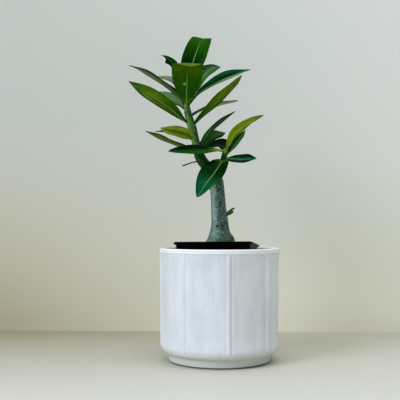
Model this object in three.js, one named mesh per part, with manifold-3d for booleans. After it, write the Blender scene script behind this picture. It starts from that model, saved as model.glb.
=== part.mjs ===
// Potted desert rose: a young adenium in a square black growing pot that stands in a ribbed white ceramic pot.
// Millimetres, +Z up, the front towards -Y. The origin is the middle of the ceramic pot's flat underside.
import * as THREE from "three";
import { mergeVertices } from "three/addons/utils/BufferGeometryUtils.js";
import Module from "manifold-3d";

const wasm = await Module();
wasm.setup();

// Air between neighbouring pieces.
const FIT_GAP = 0.3;

// Ceramic pot. Its wall is a slightly conical drum with eight upright ribs and flatter panels between them.
const POT_HEIGHT = 129.5;
const POT_FLOOR = 12;
const RIM_RADIUS = 70;
const RIM_DEPTH = 5.2;
const GROOVE_DEPTH = 0.7;
const WALL_TOP_RADIUS = 69.2;
const WALL_BOTTOM_RADIUS = 68.3;
const WALL_BOTTOM = 20;
const WALL_THICKNESS = 5;
const FOOT_HEIGHT = 10;
const FILLET_DEPTH = 7;
const FOOT_TOP_RADIUS = 59.7;
const FOOT_RADIUS = 58.7;
const FOOT_CHAMFER = 0.8;
const PANEL_HOLLOW = 2;
const RIB_HEIGHT = 0.8;
const RIB_HALF_WIDTH = 1.9;
// Azimuths of the ribs from the front, towards +X. The three at the front sit a little unevenly.
const RIB_AZIMUTHS = [-35.4, 8.4, 51.2, 98, 144, 190, 235.5, 280];
const PANEL_STEPS = 5;

// Growing pot: thin black plastic, square, leaning back against the ceramic wall.
const GROW_HEIGHT = 120;
const GROW_TOP = 42.6;
const GROW_BOTTOM = 32;
const GROW_WALL = 0.9;
const GROW_CORNER = 5;
const LIP_OVERHANG = 1.8;
const LIP_HEIGHT = 2.5;
const GROW_YAW = -9;
const GROW_LEAN = 4.1;
const GROW_X = -1.9;
const GROW_Y = -7.4;
const DRAIN_RADIUS = 4;
const DRAIN_SPACING = 19;

// Soil, measured in the growing pot's own frame.
const SOIL_DROP = 7.5;
const SOIL_RINGS = 6;
const CRUMB_HEIGHT = 0.9;

// Stems: [x, y, z, radius] from the buried end of the trunk to each growing tip.
const TRUNK = [
  [2, 0, 104, 9],
  [1.6, 0, 116, 14.5],
  [1, 0, 130, 18.5],
  [1, 0, 138.8, 16.3],
  [0.6, 0, 144.6, 13.4],
  [0.5, 0, 150.5, 11.3],
  [0.3, 0, 160, 9.8],
  [-0.9, 0.5, 174, 9],
  [-1.6, 1, 185.6, 8.8],
  [-2.6, 1.5, 197.3, 8.3],
  [-4.1, 1.5, 208.5, 8],
  [-9.5, 1, 218.8, 7.2],
  [-16.2, 0.5, 226, 6.4],
  [-21, 0, 232.5, 6.3],
  [-24.1, 0, 239.5, 6.1],
  [-26.6, 0, 249, 5],
  [-29.2, 0, 259.5, 4.6],
  [-31.5, 0, 268.5, 5.2],
  [-35.3, 0, 280.5, 4.8],
  [-37.7, 0, 291.5, 4],
  [-38.6, 0, 299.5, 3],
  [-38.8, 0, 305, 1.4],
];
const BRANCH = [
  [-3.5, 0.5, 209, 4.6],
  [0, 0, 219, 3.9],
  [2.8, -0.5, 228, 3.6],
  [5.3, -1, 236, 3.5],
  [6.9, -1, 242.5, 3.2],
  [7.4, -1, 246.5, 1.4],
];
const STEM_SIDES = 16;
const BARK_LOBES = 0.03;

// Leaf scars, spaced up the stem by the golden angle. The second one faces the front.
const SCAR_BOTTOM = 164.6;
const SCAR_TOP = 288;
const SCAR_COUNT = 12;
const SCAR_HALF_WIDTH = 2.8;
const SCAR_HALF_HEIGHT = 1.2;
const SCAR_STAND = 0.7;
const GOLDEN_ANGLE = 137.5;
const FIRST_SCAR_ANGLE = -227.5;

// Leaf blades.
const LEAF_ROWS = 12;
const LEAF_COLUMNS = 4;
const BLADE_THICKNESS = 0.8;
const MIDRIB_THICKNESS = 1;
const PETIOLE_HALF_WIDTH = 1.3;
const TIP_HALF_WIDTH = 0.4;
const BASE_POWER = 1.1;
const TIP_POWER = 0.8;
// Waves along a blade's edges, and how far its two edges are out of step, in radians.
const EDGE_WAVES = 2;
const EDGE_SHIFT = 1.3;
// Where a curled leaf's loose flap of edge stands out and how long it is, as shares of the leaf's length, and
// how far the flap leans to the tip for each millimetre that it stands out.
const FLAP_PLACE = 0.833;
const FLAP_LENGTH = 0.05;
const FLAP_SWEEP = 1.2;

const LEAF_DARK = "#1d5a1c";
const LEAF_TEAL = "#0f5a44";
const LEAF_OLIVE = "#4a6a12";
const LEAF_LIGHT = "#7a9a18";

// Each leaf: the points of its midrib from inside the stem to the tip, its width in millimetres, how far along
// it is widest, the way its upper face looks at the base and at the tip, the fold along the midrib in degrees,
// and the height of the waves in its edges. A small basePower keeps it broad near the stem, like a strap, and
// a small tipPower makes a blunt tip.
const LEAVES = [
  {
    name: "leaf_top_back",
    spine: [
      [-38.6, 0, 301.5], [-38.8, 6.5, 318], [-35.8, 12, 337], [-30.2, 18, 357], [-24.1, 24.5, 375.8],
      [-20.6, 32, 384.5], [-18.6, 44, 384.5], [-16.6, 55, 377.5],
    ],
    width: 31.6, widest: 0.55, basePower: 1.6, faces: [0, -0.8, 0.6], tipFaces: [0.1, 0, 1], fold: 7, wave: 0.6,
    colour: LEAF_DARK,
  },
  {
    name: "leaf_top_front",
    spine: [
      [-38.6, 0, 295.5], [-38, -11, 312], [-37, -22, 327], [-35.5, -33, 337], [-34.5, -45, 336.5],
      [-33.5, -57, 330.5],
    ],
    width: 36.5, widest: 0.6, basePower: 0.85, tipPower: 0.5, faces: [0, 0.35, 1], fold: -2, wave: 0.3,
    colour: LEAF_DARK,
  },
  {
    name: "leaf_top_curled",
    spine: [
      [-38.5, 0, 296.5], [-45.5, 3.5, 317], [-50.5, 8, 337], [-55.6, 12, 348.7], [-61, 15.5, 355.6],
      [-65.5, 18, 359.3], [-70, 20, 361.5],
    ],
    width: 12, widest: 0.6, basePower: 1.6, tipPower: 1, faces: [0.5, -0.2, 0.8], tipFaces: [0, 0.9, 0.2],
    fold: 24, wave: 0.6, flap: 1.1, colour: LEAF_DARK,
  },
  {
    name: "leaf_upper_left_long",
    spine: [
      [-37.6, 1, 290.5], [-43.5, 4, 302.5], [-52, 6, 313], [-70, 6, 325.8], [-90, 6, 338.9],
      [-107.5, 6, 346.3],
    ],
    width: 18, widest: 0.5, basePower: 0.65, tipPower: 0.9, faces: [0, 0.2, 1], fold: 6, wave: 0.7,
    colour: LEAF_OLIVE,
  },
  {
    name: "leaf_upper_left_back",
    spine: [[-37.9, 1.2, 294.8], [-42, 17.5, 314.8], [-51, 30, 330.5], [-63, 39, 337], [-79, 45, 340.5]],
    width: 15, widest: 0.6, faces: [0, -0.8, 0.9], fold: 8, wave: 0.5, colour: LEAF_TEAL,
  },
  {
    name: "leaf_left_large",
    spine: [
      [-33.5, 0, 272.5], [-43.5, -5, 280.3], [-56, -10, 290.8], [-70.5, -15, 300.2], [-87.5, -18, 310.6],
      [-104.5, -21, 321.5],
    ],
    width: 24, widest: 0.57, basePower: 1.45, faces: [0, 0.5, 1], fold: 8, wave: 0.5, colour: LEAF_OLIVE,
  },
  {
    name: "leaf_left_rear",
    spine: [[-36.8, 0, 287], [-45.5, 12, 300], [-62, 25, 311], [-77.5, 35, 319.5]],
    width: 24, widest: 0.52, basePower: 1.6, faces: [0.2, -0.8, 0.7], fold: 12, wave: 0.6, colour: LEAF_TEAL,
  },
  {
    name: "leaf_right_teal",
    spine: [
      [-38, 1, 296.2], [-23.3, -2, 311.6], [-8, -7.2, 320], [7.3, -12, 326.3], [22.5, -14, 331.9],
      [36, -15, 336],
    ],
    width: 21, widest: 0.58, basePower: 2.2, tipPower: 1.1, faces: [-0.2, -0.7, 0.7], fold: 20, wave: 0.4,
    colour: LEAF_TEAL,
  },
  {
    name: "leaf_right_rear",
    spine: [
      [-38.2, 0.3, 300.3], [-29, 5, 314.3], [-22.5, 11.5, 330.8], [-14.3, 20.5, 342], [-7, 29, 348.3],
      [-0.8, 35, 351],
    ],
    width: 23, widest: 0.7, basePower: 2, tipPower: 0.42, faces: [-0.3, -0.8, 0.5], fold: 10, wave: 0.5,
    colour: LEAF_DARK,
  },
  {
    name: "leaf_right_olive",
    spine: [
      [-33, 0, 270.5], [-24, -5, 279.8], [-11.2, -11, 291], [3.6, -17, 304.2], [16.7, -22, 316.2],
      [25.4, -26, 326.6],
    ],
    width: 18.5, widest: 0.62, basePower: 0.9, tipPower: 0.75, faces: [-0.3, 0.35, 1], fold: 12, wave: 0.5,
    colour: LEAF_OLIVE,
  },
  {
    name: "leaf_right_grey",
    spine: [[-36.3, 1, 284], [-18, 10, 294.3], [1, 20, 301], [22.8, 30, 307.5]],
    width: 18, widest: 0.5, basePower: 0.7, faces: [-0.2, 0.2, 1], fold: 8, wave: 0.5, colour: LEAF_OLIVE,
  },
  {
    name: "leaf_left_short",
    spine: [[-28.5, 0, 256], [-43.8, -10, 261.8], [-56, -18, 264], [-67.2, -25, 267]],
    width: 21, widest: 0.5, basePower: 0.7, faces: [0, 0.6, 1], fold: 14, wave: 0.4, colour: LEAF_LIGHT,
  },
  {
    name: "leaf_left_low",
    spine: [[-25, 0, 241.8], [-40.8, 4, 247], [-58.8, 7, 254.2], [-74.5, 9, 261.5], [-88, 10, 268]],
    width: 19, widest: 0.55, basePower: 0.6, faces: [0.1, 0.26, 1], fold: 8, wave: 0.6, colour: LEAF_OLIVE,
  },
  {
    name: "leaf_left_low_back",
    spine: [[-29, 1, 261], [-44.5, 15, 266], [-62.5, 30, 269.5], [-79, 42, 272]],
    width: 15, widest: 0.6, faces: [0.2, -0.15, 1], fold: 10, wave: 0.6, colour: LEAF_OLIVE,
  },
  {
    name: "leaf_mid_dark_long",
    spine: [
      [5.8, -2, 243], [-5, -10, 243.1], [-18.8, -17, 242.4], [-32.2, -21, 241.8], [-45.2, -25, 241],
      [-58, -29, 239.8],
    ],
    width: 20, widest: 0.62, basePower: 0.95, faces: [0, -0.62, 0.78], fold: 6, wave: 0.4, colour: LEAF_TEAL,
  },
  {
    name: "leaf_mid_narrow",
    spine: [[-24, 0, 242.5], [-18.4, 3, 255.2], [-10, 5, 266.3], [2.8, 7, 277.8], [18.6, 8, 291.2]],
    width: 15, widest: 0.55, faces: [-0.5, -0.35, 0.8], fold: 26, wave: 0.4, colour: LEAF_TEAL,
  },
  {
    name: "leaf_mid_broad",
    spine: [[-22.5, 0, 238], [-15.6, 9, 253.6], [-5, 17, 263], [7, 24, 267.4]],
    width: 20, widest: 0.62, faces: [-0.4, -0.8, 0.5], fold: 12, wave: 0.7, colour: LEAF_DARK,
  },
  {
    name: "leaf_mid_back",
    spine: [[7, 0, 241.5], [5, 8, 248.6], [-0.5, 18, 252.4], [-7.5, 27, 253.2], [-15, 34, 251.5]],
    width: 22, widest: 0.5, basePower: 0.7, faces: [0.2, -0.9, 0.4], fold: 8, wave: 0.4, colour: LEAF_TEAL,
  },
  {
    name: "leaf_branch_yellow",
    spine: [
      [7.2, -1, 242], [11.3, -3.5, 251.8], [16.6, -6, 261], [24.8, -8.5, 268.4], [36.2, -10.5, 276.5],
      [51, -12, 283.2],
    ],
    width: 16, widest: 0.42, faces: [-0.6, 0.6, 0.6], fold: 10, wave: 0.4, colour: LEAF_LIGHT,
  },
  {
    name: "leaf_branch_under",
    spine: [[6.2, 0, 236.5], [17.2, 8, 249], [24.2, 14, 259.3], [31.2, 19, 270]],
    width: 15, widest: 0.58, faces: [-0.5, -0.5, 0.7], fold: 14, wave: 0.4, colour: LEAF_DARK,
  },
  {
    name: "leaf_branch_teal",
    spine: [[5.5, -0.5, 234.3], [17, -7.5, 232.6], [28.8, -15, 231.4], [41.8, -22, 231.9]],
    width: 20, widest: 0.56, faces: [0, -0.65, 0.75], fold: 10, wave: 0.3, colour: LEAF_TEAL,
  },
  {
    name: "leaf_drooping",
    spine: [[3.9, -1, 231.9], [0.7, -12, 225.9], [-6.4, -22, 214.6], [-15.7, -30, 202], [-25.3, -36, 187]],
    width: 30, widest: 0.5, basePower: 0.5, faces: [-0.2, -0.87, 0.45], fold: 22, wave: 0.9,
    colour: LEAF_TEAL,
  },
];

// Small growths, [x, y, z, radius]: the leafless petiole by the fork and the shoot low on the trunk.
const PETIOLE_STUB = [
  [-19, 0, 231, 0.9],
  [-27, -1, 230.4, 0.8],
  [-34.7, -3, 228.3, 0.7],
  [-42.5, -5, 225.2, 0.8],
];
const SPROUT_STEM = [[3, -1, 166.5, 2], [8.5, -2, 168.9, 2.3], [12.5, -3, 170.3, 2], [16, -3.6, 171.8, 1.1]];
const SPROUT_PRONG = [[10, -2, 170.5, 1.5], [12.6, -3, 173, 1.4], [15, -3, 174.6, 1.3], [17.6, -3, 176, 0.5]];
const TWIG_SIDES = 8;

const radians = THREE.MathUtils.degToRad;
const vector = ([x, y, z]) => new THREE.Vector3(x, y, z);

function geometryFrom(points, index) {
  const positions = points.flatMap((point) => [point.x, point.y, point.z]);
  return new THREE.BufferGeometry()
    .setAttribute("position", new THREE.Float32BufferAttribute(positions, 3))
    .setIndex(index);
}

// A closed skin over a stack of rings. Every ring runs counter-clockwise as seen from the last end.
function skin(rings, firstPoint, lastPoint) {
  const sides = rings[0].length;
  const points = [firstPoint, ...rings.flat(), lastPoint];
  const last = points.length - 1;
  const at = (ring, side) => 1 + ring * sides + (side % sides);
  const index = [];
  for (let side = 0; side < sides; side++) {
    index.push(0, at(0, side + 1), at(0, side));
    index.push(last, at(rings.length - 1, side), at(rings.length - 1, side + 1));
    for (let ring = 0; ring + 1 < rings.length; ring++) {
      index.push(at(ring, side), at(ring, side + 1), at(ring + 1, side + 1));
      index.push(at(ring, side), at(ring + 1, side + 1), at(ring + 1, side));
    }
  }
  return geometryFrom(points, index);
}

function solid(geometry) {
  const plain = geometry.clone();
  plain.deleteAttribute("normal");
  plain.deleteAttribute("uv");
  const merged = mergeVertices(plain, 1e-4);
  return new wasm.Manifold(
    new wasm.Mesh({
      numProp: 3,
      vertProperties: new Float32Array(merged.attributes.position.array),
      triVerts: new Uint32Array(merged.index.array),
    }),
  );
}

function geometryOf(body) {
  const mesh = body.getMesh();
  return new THREE.BufferGeometry()
    .setAttribute("position", new THREE.BufferAttribute(mesh.vertProperties, 3))
    .setIndex(new THREE.BufferAttribute(mesh.triVerts, 1));
}

function piece(name, geometry, colour, roughness) {
  geometry.computeVertexNormals();
  const material = new THREE.MeshStandardMaterial({ color: colour, roughness, metalness: 0 });
  const mesh = new THREE.Mesh(geometry, material);
  mesh.name = name;
  return mesh;
}

// The largest body of a cut, so that no loose scrap stays.
function largest(body) {
  return body.decompose().sort((a, b) => b.volume() - a.volume())[0];
}

// Directions round the ceramic pot, each with how far the rib stands out and how far the panel falls in there.
function potDirections() {
  const directions = [];
  RIB_AZIMUTHS.forEach((azimuth, number) => {
    const next = RIB_AZIMUTHS[number + 1] ?? RIB_AZIMUTHS[0] + 360;
    const ribAngle = THREE.MathUtils.radToDeg(RIB_HALF_WIDTH / RIM_RADIUS);
    for (const [side, rib] of [[-1, 0], [-1 / 3, RIB_HEIGHT], [1 / 3, RIB_HEIGHT], [1, 0]]) {
      directions.push({ azimuth: azimuth + side * ribAngle, rib, hollow: 0 });
    }
    for (let step = 1; step < PANEL_STEPS; step++) {
      const across = step / PANEL_STEPS;
      const start = azimuth + ribAngle;
      const end = next - ribAngle;
      const hollow = PANEL_HOLLOW * (1 - (2 * across - 1) ** 2);
      directions.push({ azimuth: start + across * (end - start), rib: 0, hollow });
    }
  });
  return directions;
}

function cachepot() {
  const fillet = [0, 22.5, 45, 67.5].map((angle) => [
    WALL_BOTTOM_RADIUS - FILLET_DEPTH * (1 - Math.sin(radians(angle))),
    WALL_BOTTOM - (WALL_BOTTOM - FOOT_HEIGHT) * Math.cos(radians(angle)),
    0,
    0,
  ]);
  const innerRim = RIM_RADIUS - RIM_DEPTH;
  const innerFoot = WALL_BOTTOM_RADIUS - WALL_THICKNESS;
  // Radius, height, and how much of the ribs and of the panels' hollow shows there.
  const profile = [
    [FOOT_RADIUS - FOOT_CHAMFER, 0, 0, 0],
    [FOOT_RADIUS, FOOT_CHAMFER, 0, 0],
    [FOOT_TOP_RADIUS, FOOT_HEIGHT, 0, 0],
    ...fillet,
    [WALL_BOTTOM_RADIUS, WALL_BOTTOM, 0.9, 0.3],
    [WALL_BOTTOM_RADIUS + 0.1, WALL_BOTTOM + 6, 1, 0.8],
    [WALL_BOTTOM_RADIUS + 0.2, WALL_BOTTOM + 17, 1, 1],
    [WALL_TOP_RADIUS - 0.1, POT_HEIGHT - 28, 1, 1],
    [WALL_TOP_RADIUS, POT_HEIGHT - 13, 1, 0.7],
    [WALL_TOP_RADIUS + 0.1, POT_HEIGHT - 6, 0.8, 0.1],
    [WALL_TOP_RADIUS + 0.1, POT_HEIGHT - 5.2, 0, 0],
    [RIM_RADIUS, POT_HEIGHT - 4.6, 0, 0],
    [RIM_RADIUS, POT_HEIGHT - 3.5, 0, 0],
    [RIM_RADIUS - GROOVE_DEPTH, POT_HEIGHT - 2.9, 0, 0],
    [RIM_RADIUS, POT_HEIGHT - 2.2, 0, 0],
    [RIM_RADIUS - 0.2, POT_HEIGHT - 0.9, 0, 0],
    [RIM_RADIUS - 1.3, POT_HEIGHT, 0, 0],
    [innerRim + 1, POT_HEIGHT, 0, 0],
    [innerRim, POT_HEIGHT - 1.2, 0, 0],
    [innerFoot, POT_FLOOR + 12, 0, 0],
    [innerFoot - 3, POT_FLOOR + 3, 0, 0],
    [innerFoot - 10, POT_FLOOR, 0, 0],
  ];
  const directions = potDirections();
  const rings = profile.map(([radius, height, ribShare, hollowShare]) =>
    directions.map(({ azimuth, rib, hollow }) => {
      const reach = radius + ribShare * rib - hollowShare * hollow;
      const angle = radians(azimuth - 90);
      return new THREE.Vector3(reach * Math.cos(angle), reach * Math.sin(angle), height);
    }),
  );
  const geometry = skin(rings, vector([0, 0, 0]), vector([0, 0, POT_FLOOR]));
  return piece("cachepot", geometry, "#dbe2e8", 0.2);
}

// One ring of a square with round corners.
function squareRing(half, height, lift = () => 0) {
  const corner = Math.min(GROW_CORNER, half / 2);
  const points = [];
  for (let quarter = 0; quarter < 4; quarter++) {
    const turned = (x, y) => {
      return new THREE.Vector3(x, y, 0).applyAxisAngle(new THREE.Vector3(0, 0, 1), radians(90 * quarter));
    };
    for (const angle of [0, 30, 60, 90]) {
      const x = half - corner + corner * Math.cos(radians(angle));
      const y = half - corner + corner * Math.sin(radians(angle));
      points.push(turned(x, y));
    }
    for (const along of [0.5, 0, -0.5]) {
      points.push(turned(along * (half - corner), half));
    }
  }
  return points.map((point) => point.setZ(height + lift(point.x, point.y)));
}

// How the growing pot stands: turned on its axis, leaned back, and set down on the ceramic floor.
function growPose() {
  const lean = new THREE.Matrix4().makeRotationX(radians(-GROW_LEAN));
  const turn = lean.multiply(new THREE.Matrix4().makeRotationZ(radians(GROW_YAW)));
  const corners = squareRing(GROW_BOTTOM, 0).map((point) => point.applyMatrix4(turn).z);
  const height = POT_FLOOR + FIT_GAP - Math.min(...corners);
  return new THREE.Matrix4().makeTranslation(GROW_X, GROW_Y, height).multiply(turn);
}

function drainHole(x, y) {
  const hole = new THREE.CylinderGeometry(DRAIN_RADIUS, DRAIN_RADIUS, 6, 10);
  return hole.rotateX(Math.PI / 2).translate(x, y, 0);
}

function nurseryPot(pose) {
  const innerTop = GROW_TOP - GROW_WALL;
  const rings = [
    squareRing(GROW_BOTTOM - 0.6, 0),
    squareRing(GROW_BOTTOM, 1),
    squareRing(GROW_TOP, GROW_HEIGHT - LIP_HEIGHT - 0.2),
    squareRing(GROW_TOP + LIP_OVERHANG - 0.3, GROW_HEIGHT - LIP_HEIGHT),
    squareRing(GROW_TOP + LIP_OVERHANG, GROW_HEIGHT - LIP_HEIGHT + 0.4),
    squareRing(GROW_TOP + LIP_OVERHANG, GROW_HEIGHT - 0.5),
    squareRing(GROW_TOP + LIP_OVERHANG - 0.5, GROW_HEIGHT),
    squareRing(innerTop + 0.3, GROW_HEIGHT),
    squareRing(innerTop, GROW_HEIGHT - 1),
    squareRing(GROW_BOTTOM - GROW_WALL, 1.4),
    squareRing(GROW_BOTTOM - 2 * GROW_WALL, 1),
  ];
  let body = solid(skin(rings, vector([0, 0, 0]), vector([0, 0, 1])));
  const places = [[0, 0]];
  for (const side of [-1, 1]) {
    places.push([side * DRAIN_SPACING, side * DRAIN_SPACING], [side * DRAIN_SPACING, -side * DRAIN_SPACING]);
  }
  for (const [x, y] of places) {
    body = body.subtract(solid(drainHole(x, y)));
  }
  return piece("nursery_pot", geometryOf(body).applyMatrix4(pose), "#0b0e10", 0.45);
}

// Uneven top of the gritty soil: two crossed sets of waves.
function crumb(x, y) {
  const coarse = Math.sin(0.42 * x + 1) * Math.cos(0.37 * y);
  const fine = Math.sin(0.9 * x + 0.8 * y) * Math.cos(0.7 * x - 1.1 * y);
  return CRUMB_HEIGHT * (0.6 * coarse + 0.4 * fine);
}

function soil(pose) {
  const top = GROW_HEIGHT - SOIL_DROP;
  const taper = (GROW_TOP - GROW_BOTTOM) / GROW_HEIGHT;
  const inside = (height) => GROW_BOTTOM + taper * height - GROW_WALL - 2 * FIT_GAP;
  const rings = [squareRing(inside(2) - 1, 2 * FIT_GAP + 1), squareRing(inside(3), 3)];
  for (let ring = SOIL_RINGS; ring > 0; ring--) {
    rings.push(squareRing((inside(top - 1) * ring) / SOIL_RINGS, top, crumb));
  }
  const block = skin(rings, vector([0, 0, 2 * FIT_GAP + 1]), vector([0, 0, top])).applyMatrix4(pose);
  const hole = solid(limb(TRUNK.slice(0, 5), STEM_SIDES, 2 * FIT_GAP, BARK_LOBES));
  return piece("soil", geometryOf(solid(block).subtract(hole)), "#4a3a2c", 0.95);
}

// A stem through the given points, thickened all round by `grow`. The lobes make it slightly uneven.
function limb(stations, sides, grow = 0, lobes = 0) {
  const curve = new THREE.CatmullRomCurve3(stations.map(vector), false, "catmullrom", 0.5);
  const steps = 2 * (stations.length - 1);
  const front = new THREE.Vector3(0, 1, 0);
  const rings = [];
  for (let step = 0; step <= steps; step++) {
    const centre = curve.getPoint(step / steps);
    const along = curve.getTangent(step / steps);
    const across = new THREE.Vector3().crossVectors(front, along).normalize();
    const back = new THREE.Vector3().crossVectors(along, across);
    if (step === 0) centre.addScaledVector(along, -grow);
    if (step === steps) centre.addScaledVector(along, grow);
    const before = stations[Math.floor(step / 2)][3];
    const after = stations[Math.ceil(step / 2)][3];
    const ring = [];
    for (let side = 0; side < sides; side++) {
      const angle = (2 * Math.PI * side) / sides;
      const broad = Math.cos(3 * angle + 0.06 * centre.z);
      const narrow = Math.cos(5 * angle - 0.1 * centre.z);
      const radius = ((before + after) / 2) * (1 + lobes * broad + 0.5 * lobes * narrow) + grow;
      const point = centre.clone().addScaledVector(across, radius * Math.cos(angle));
      ring.push(point.addScaledVector(back, radius * Math.sin(angle)));
    }
    rings.push(ring);
  }
  const end = curve.getTangent(1).multiplyScalar(grow + 0.4);
  const start = curve.getTangent(0).multiplyScalar(-grow - 0.4);
  return skin(rings, start.add(curve.getPoint(0)), end.add(curve.getPoint(1)));
}

// The stem's centre and radius at a height.
function stemAt(height) {
  const above = TRUNK.findIndex((station) => station[2] > height);
  const low = TRUNK[above - 1];
  const high = TRUNK[above];
  const share = (height - low[2]) / (high[2] - low[2]);
  return low.map((value, item) => value + share * (high[item] - value));
}

// A low oval lump where a leaf has dropped off.
function scar(number, grow) {
  const height = SCAR_BOTTOM + ((SCAR_TOP - SCAR_BOTTOM) * number) / (SCAR_COUNT - 1);
  const [x, y, z, radius] = stemAt(height);
  const size = 0.45 + radius / 15;
  const geometry = new THREE.IcosahedronGeometry(1, 1);
  geometry.scale(2 * SCAR_STAND + grow, SCAR_HALF_WIDTH * size + grow, SCAR_HALF_HEIGHT * size + grow);
  geometry.translate(radius - SCAR_STAND, 0, 0);
  geometry.rotateZ(radians(FIRST_SCAR_ANGLE + GOLDEN_ANGLE * number));
  return geometry.translate(x, y, z);
}

function stems(grow) {
  let body = solid(limb(TRUNK, STEM_SIDES, grow, BARK_LOBES));
  body = body.add(solid(limb(BRANCH, STEM_SIDES, grow, BARK_LOBES)));
  for (let number = 0; number < SCAR_COUNT; number++) {
    body = body.add(solid(scar(number, grow)));
  }
  return body;
}

// Half the blade's width at a share of its length: narrow at the stem, widest where asked, pointed at the tip.
function halfWidth(leaf, share) {
  const { widest, basePower = BASE_POWER, tipPower = TIP_POWER } = leaf;
  const quarter = Math.PI / 2;
  const blade =
    share < widest
      ? Math.sin((quarter * share) / widest) ** basePower
      : Math.sin((quarter * (1 - share)) / (1 - widest)) ** tipPower;
  const stalk = THREE.MathUtils.lerp(PETIOLE_HALF_WIDTH, TIP_HALF_WIDTH, share);
  return Math.max(stalk, (leaf.width / 2) * blade);
}

// A blade: two faces with the same triangles, a midrib that stands out below, and an edge round them.
function blade(leaf) {
  const curve = new THREE.CatmullRomCurve3(leaf.spine.map(vector), false, "catmullrom", 0.5);
  const faces = vector(leaf.faces);
  const tipFaces = vector(leaf.tipFaces ?? leaf.faces);
  const fold = radians(leaf.fold);
  const upper = [];
  const lower = [];
  for (let row = 0; row <= LEAF_ROWS; row++) {
    const share = row / LEAF_ROWS;
    const centre = curve.getPointAt(share);
    const along = curve.getTangentAt(share);
    const up = faces.clone().lerp(tipFaces, share).projectOnPlane(along).normalize();
    const side = new THREE.Vector3().crossVectors(along, up);
    const half = halfWidth(leaf, share);
    const flap = 1 + (leaf.flap ?? 0) * Math.exp(-(((share - FLAP_PLACE) / FLAP_LENGTH) ** 2));
    for (let column = 0; column <= LEAF_COLUMNS; column++) {
      const edge = (2 * column) / LEAF_COLUMNS - 1;
      const across = edge > 0 ? edge * flap : edge;
      const phase = 2 * Math.PI * EDGE_WAVES * share + EDGE_SHIFT * Math.sign(edge);
      const sway = Math.sin(phase) * leaf.wave * edge ** 2;
      const rise = Math.abs(across) * half * Math.sin(fold) + sway * Math.min(1, half / 6);
      const point = centre.clone().addScaledVector(side, across * half * Math.cos(fold));
      point.addScaledVector(along, (across - edge) * half * FLAP_SWEEP).addScaledVector(up, rise);
      const midrib = across === 0 ? MIDRIB_THICKNESS * (1 - 0.8 * share) : 0;
      upper.push(point.clone().addScaledVector(up, BLADE_THICKNESS / 2));
      lower.push(point.clone().addScaledVector(up, -BLADE_THICKNESS / 2 - midrib));
    }
  }
  return geometryFrom([...upper, ...lower], bladeTriangles(upper.length));
}

function bladeTriangles(under) {
  const columns = LEAF_COLUMNS + 1;
  const at = (row, column) => row * columns + column;
  const index = [];
  for (let row = 0; row < LEAF_ROWS; row++) {
    for (let column = 0; column < LEAF_COLUMNS; column++) {
      const near = at(row, column);
      const nearRight = at(row, column + 1);
      const farRight = at(row + 1, column + 1);
      const far = at(row + 1, column);
      index.push(near, nearRight, farRight, near, farRight, far);
      index.push(under + near, under + farRight, under + nearRight);
      index.push(under + near, under + far, under + farRight);
    }
    const left = at(row, 0);
    const leftFar = at(row + 1, 0);
    const right = at(row, LEAF_COLUMNS);
    const rightFar = at(row + 1, LEAF_COLUMNS);
    index.push(left, leftFar, under + leftFar, left, under + leftFar, under + left);
    index.push(right, under + rightFar, rightFar, right, under + right, under + rightFar);
  }
  for (let column = 0; column < LEAF_COLUMNS; column++) {
    const near = at(0, column);
    const tip = at(LEAF_ROWS, column);
    index.push(near, under + near, under + near + 1, near, under + near + 1, near + 1);
    index.push(tip, under + tip + 1, under + tip, tip, tip + 1, under + tip + 1);
  }
  return index;
}

// A leaf, cut just clear of the stem that carries it.
function leafPiece(leaf, clearance) {
  const body = largest(solid(blade(leaf)).subtract(clearance));
  return piece(leaf.name, geometryOf(body), leaf.colour, 0.4);
}

function petioleStub(clearance) {
  const body = largest(solid(limb(PETIOLE_STUB, TWIG_SIDES)).subtract(clearance));
  return piece("petiole_stub", geometryOf(body), "#3c5240", 0.7);
}

function sprout(clearance) {
  const shoots = solid(limb(SPROUT_STEM, TWIG_SIDES)).add(solid(limb(SPROUT_PRONG, TWIG_SIDES)));
  return piece("sprout", geometryOf(largest(shoots.subtract(clearance))), "#3f6a2a", 0.6);
}

const pose = growPose();
const clearance = stems(1.2 * FIT_GAP);
const group = new THREE.Group();
group.add(cachepot(), nurseryPot(pose), soil(pose));
group.add(piece("trunk", geometryOf(stems(0)), "#6e8f84", 0.7));
group.add(petioleStub(clearance), sprout(clearance));
for (const leaf of LEAVES) {
  group.add(leafPiece(leaf, clearance));
}

export default group;
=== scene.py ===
# %% [markdown]
# # A potted desert rose
# This lesson dresses a young adenium: a swollen grey-green stem with long glossy leaves, which stands in a square
# black growing pot inside a ribbed white ceramic pot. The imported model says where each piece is. Every piece is
# modelled here again, finer, on the same measures, and then gets a finish that is worked out from the real stuff.

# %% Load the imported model
import math
import random

import bpy
from mathutils import Matrix, Vector, noise


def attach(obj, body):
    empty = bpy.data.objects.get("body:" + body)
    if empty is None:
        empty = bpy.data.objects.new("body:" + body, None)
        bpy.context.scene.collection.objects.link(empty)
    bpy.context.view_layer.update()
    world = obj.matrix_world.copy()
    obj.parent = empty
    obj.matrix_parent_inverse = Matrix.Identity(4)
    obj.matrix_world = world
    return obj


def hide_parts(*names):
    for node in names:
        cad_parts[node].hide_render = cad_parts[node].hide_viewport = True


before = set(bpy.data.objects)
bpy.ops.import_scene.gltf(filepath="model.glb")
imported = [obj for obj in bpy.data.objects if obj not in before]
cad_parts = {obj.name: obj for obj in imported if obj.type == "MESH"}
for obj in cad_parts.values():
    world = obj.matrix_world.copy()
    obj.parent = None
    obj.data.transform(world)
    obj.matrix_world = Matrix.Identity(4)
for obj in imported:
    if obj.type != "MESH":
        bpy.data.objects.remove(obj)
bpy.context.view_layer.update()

MM = 0.001

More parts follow.
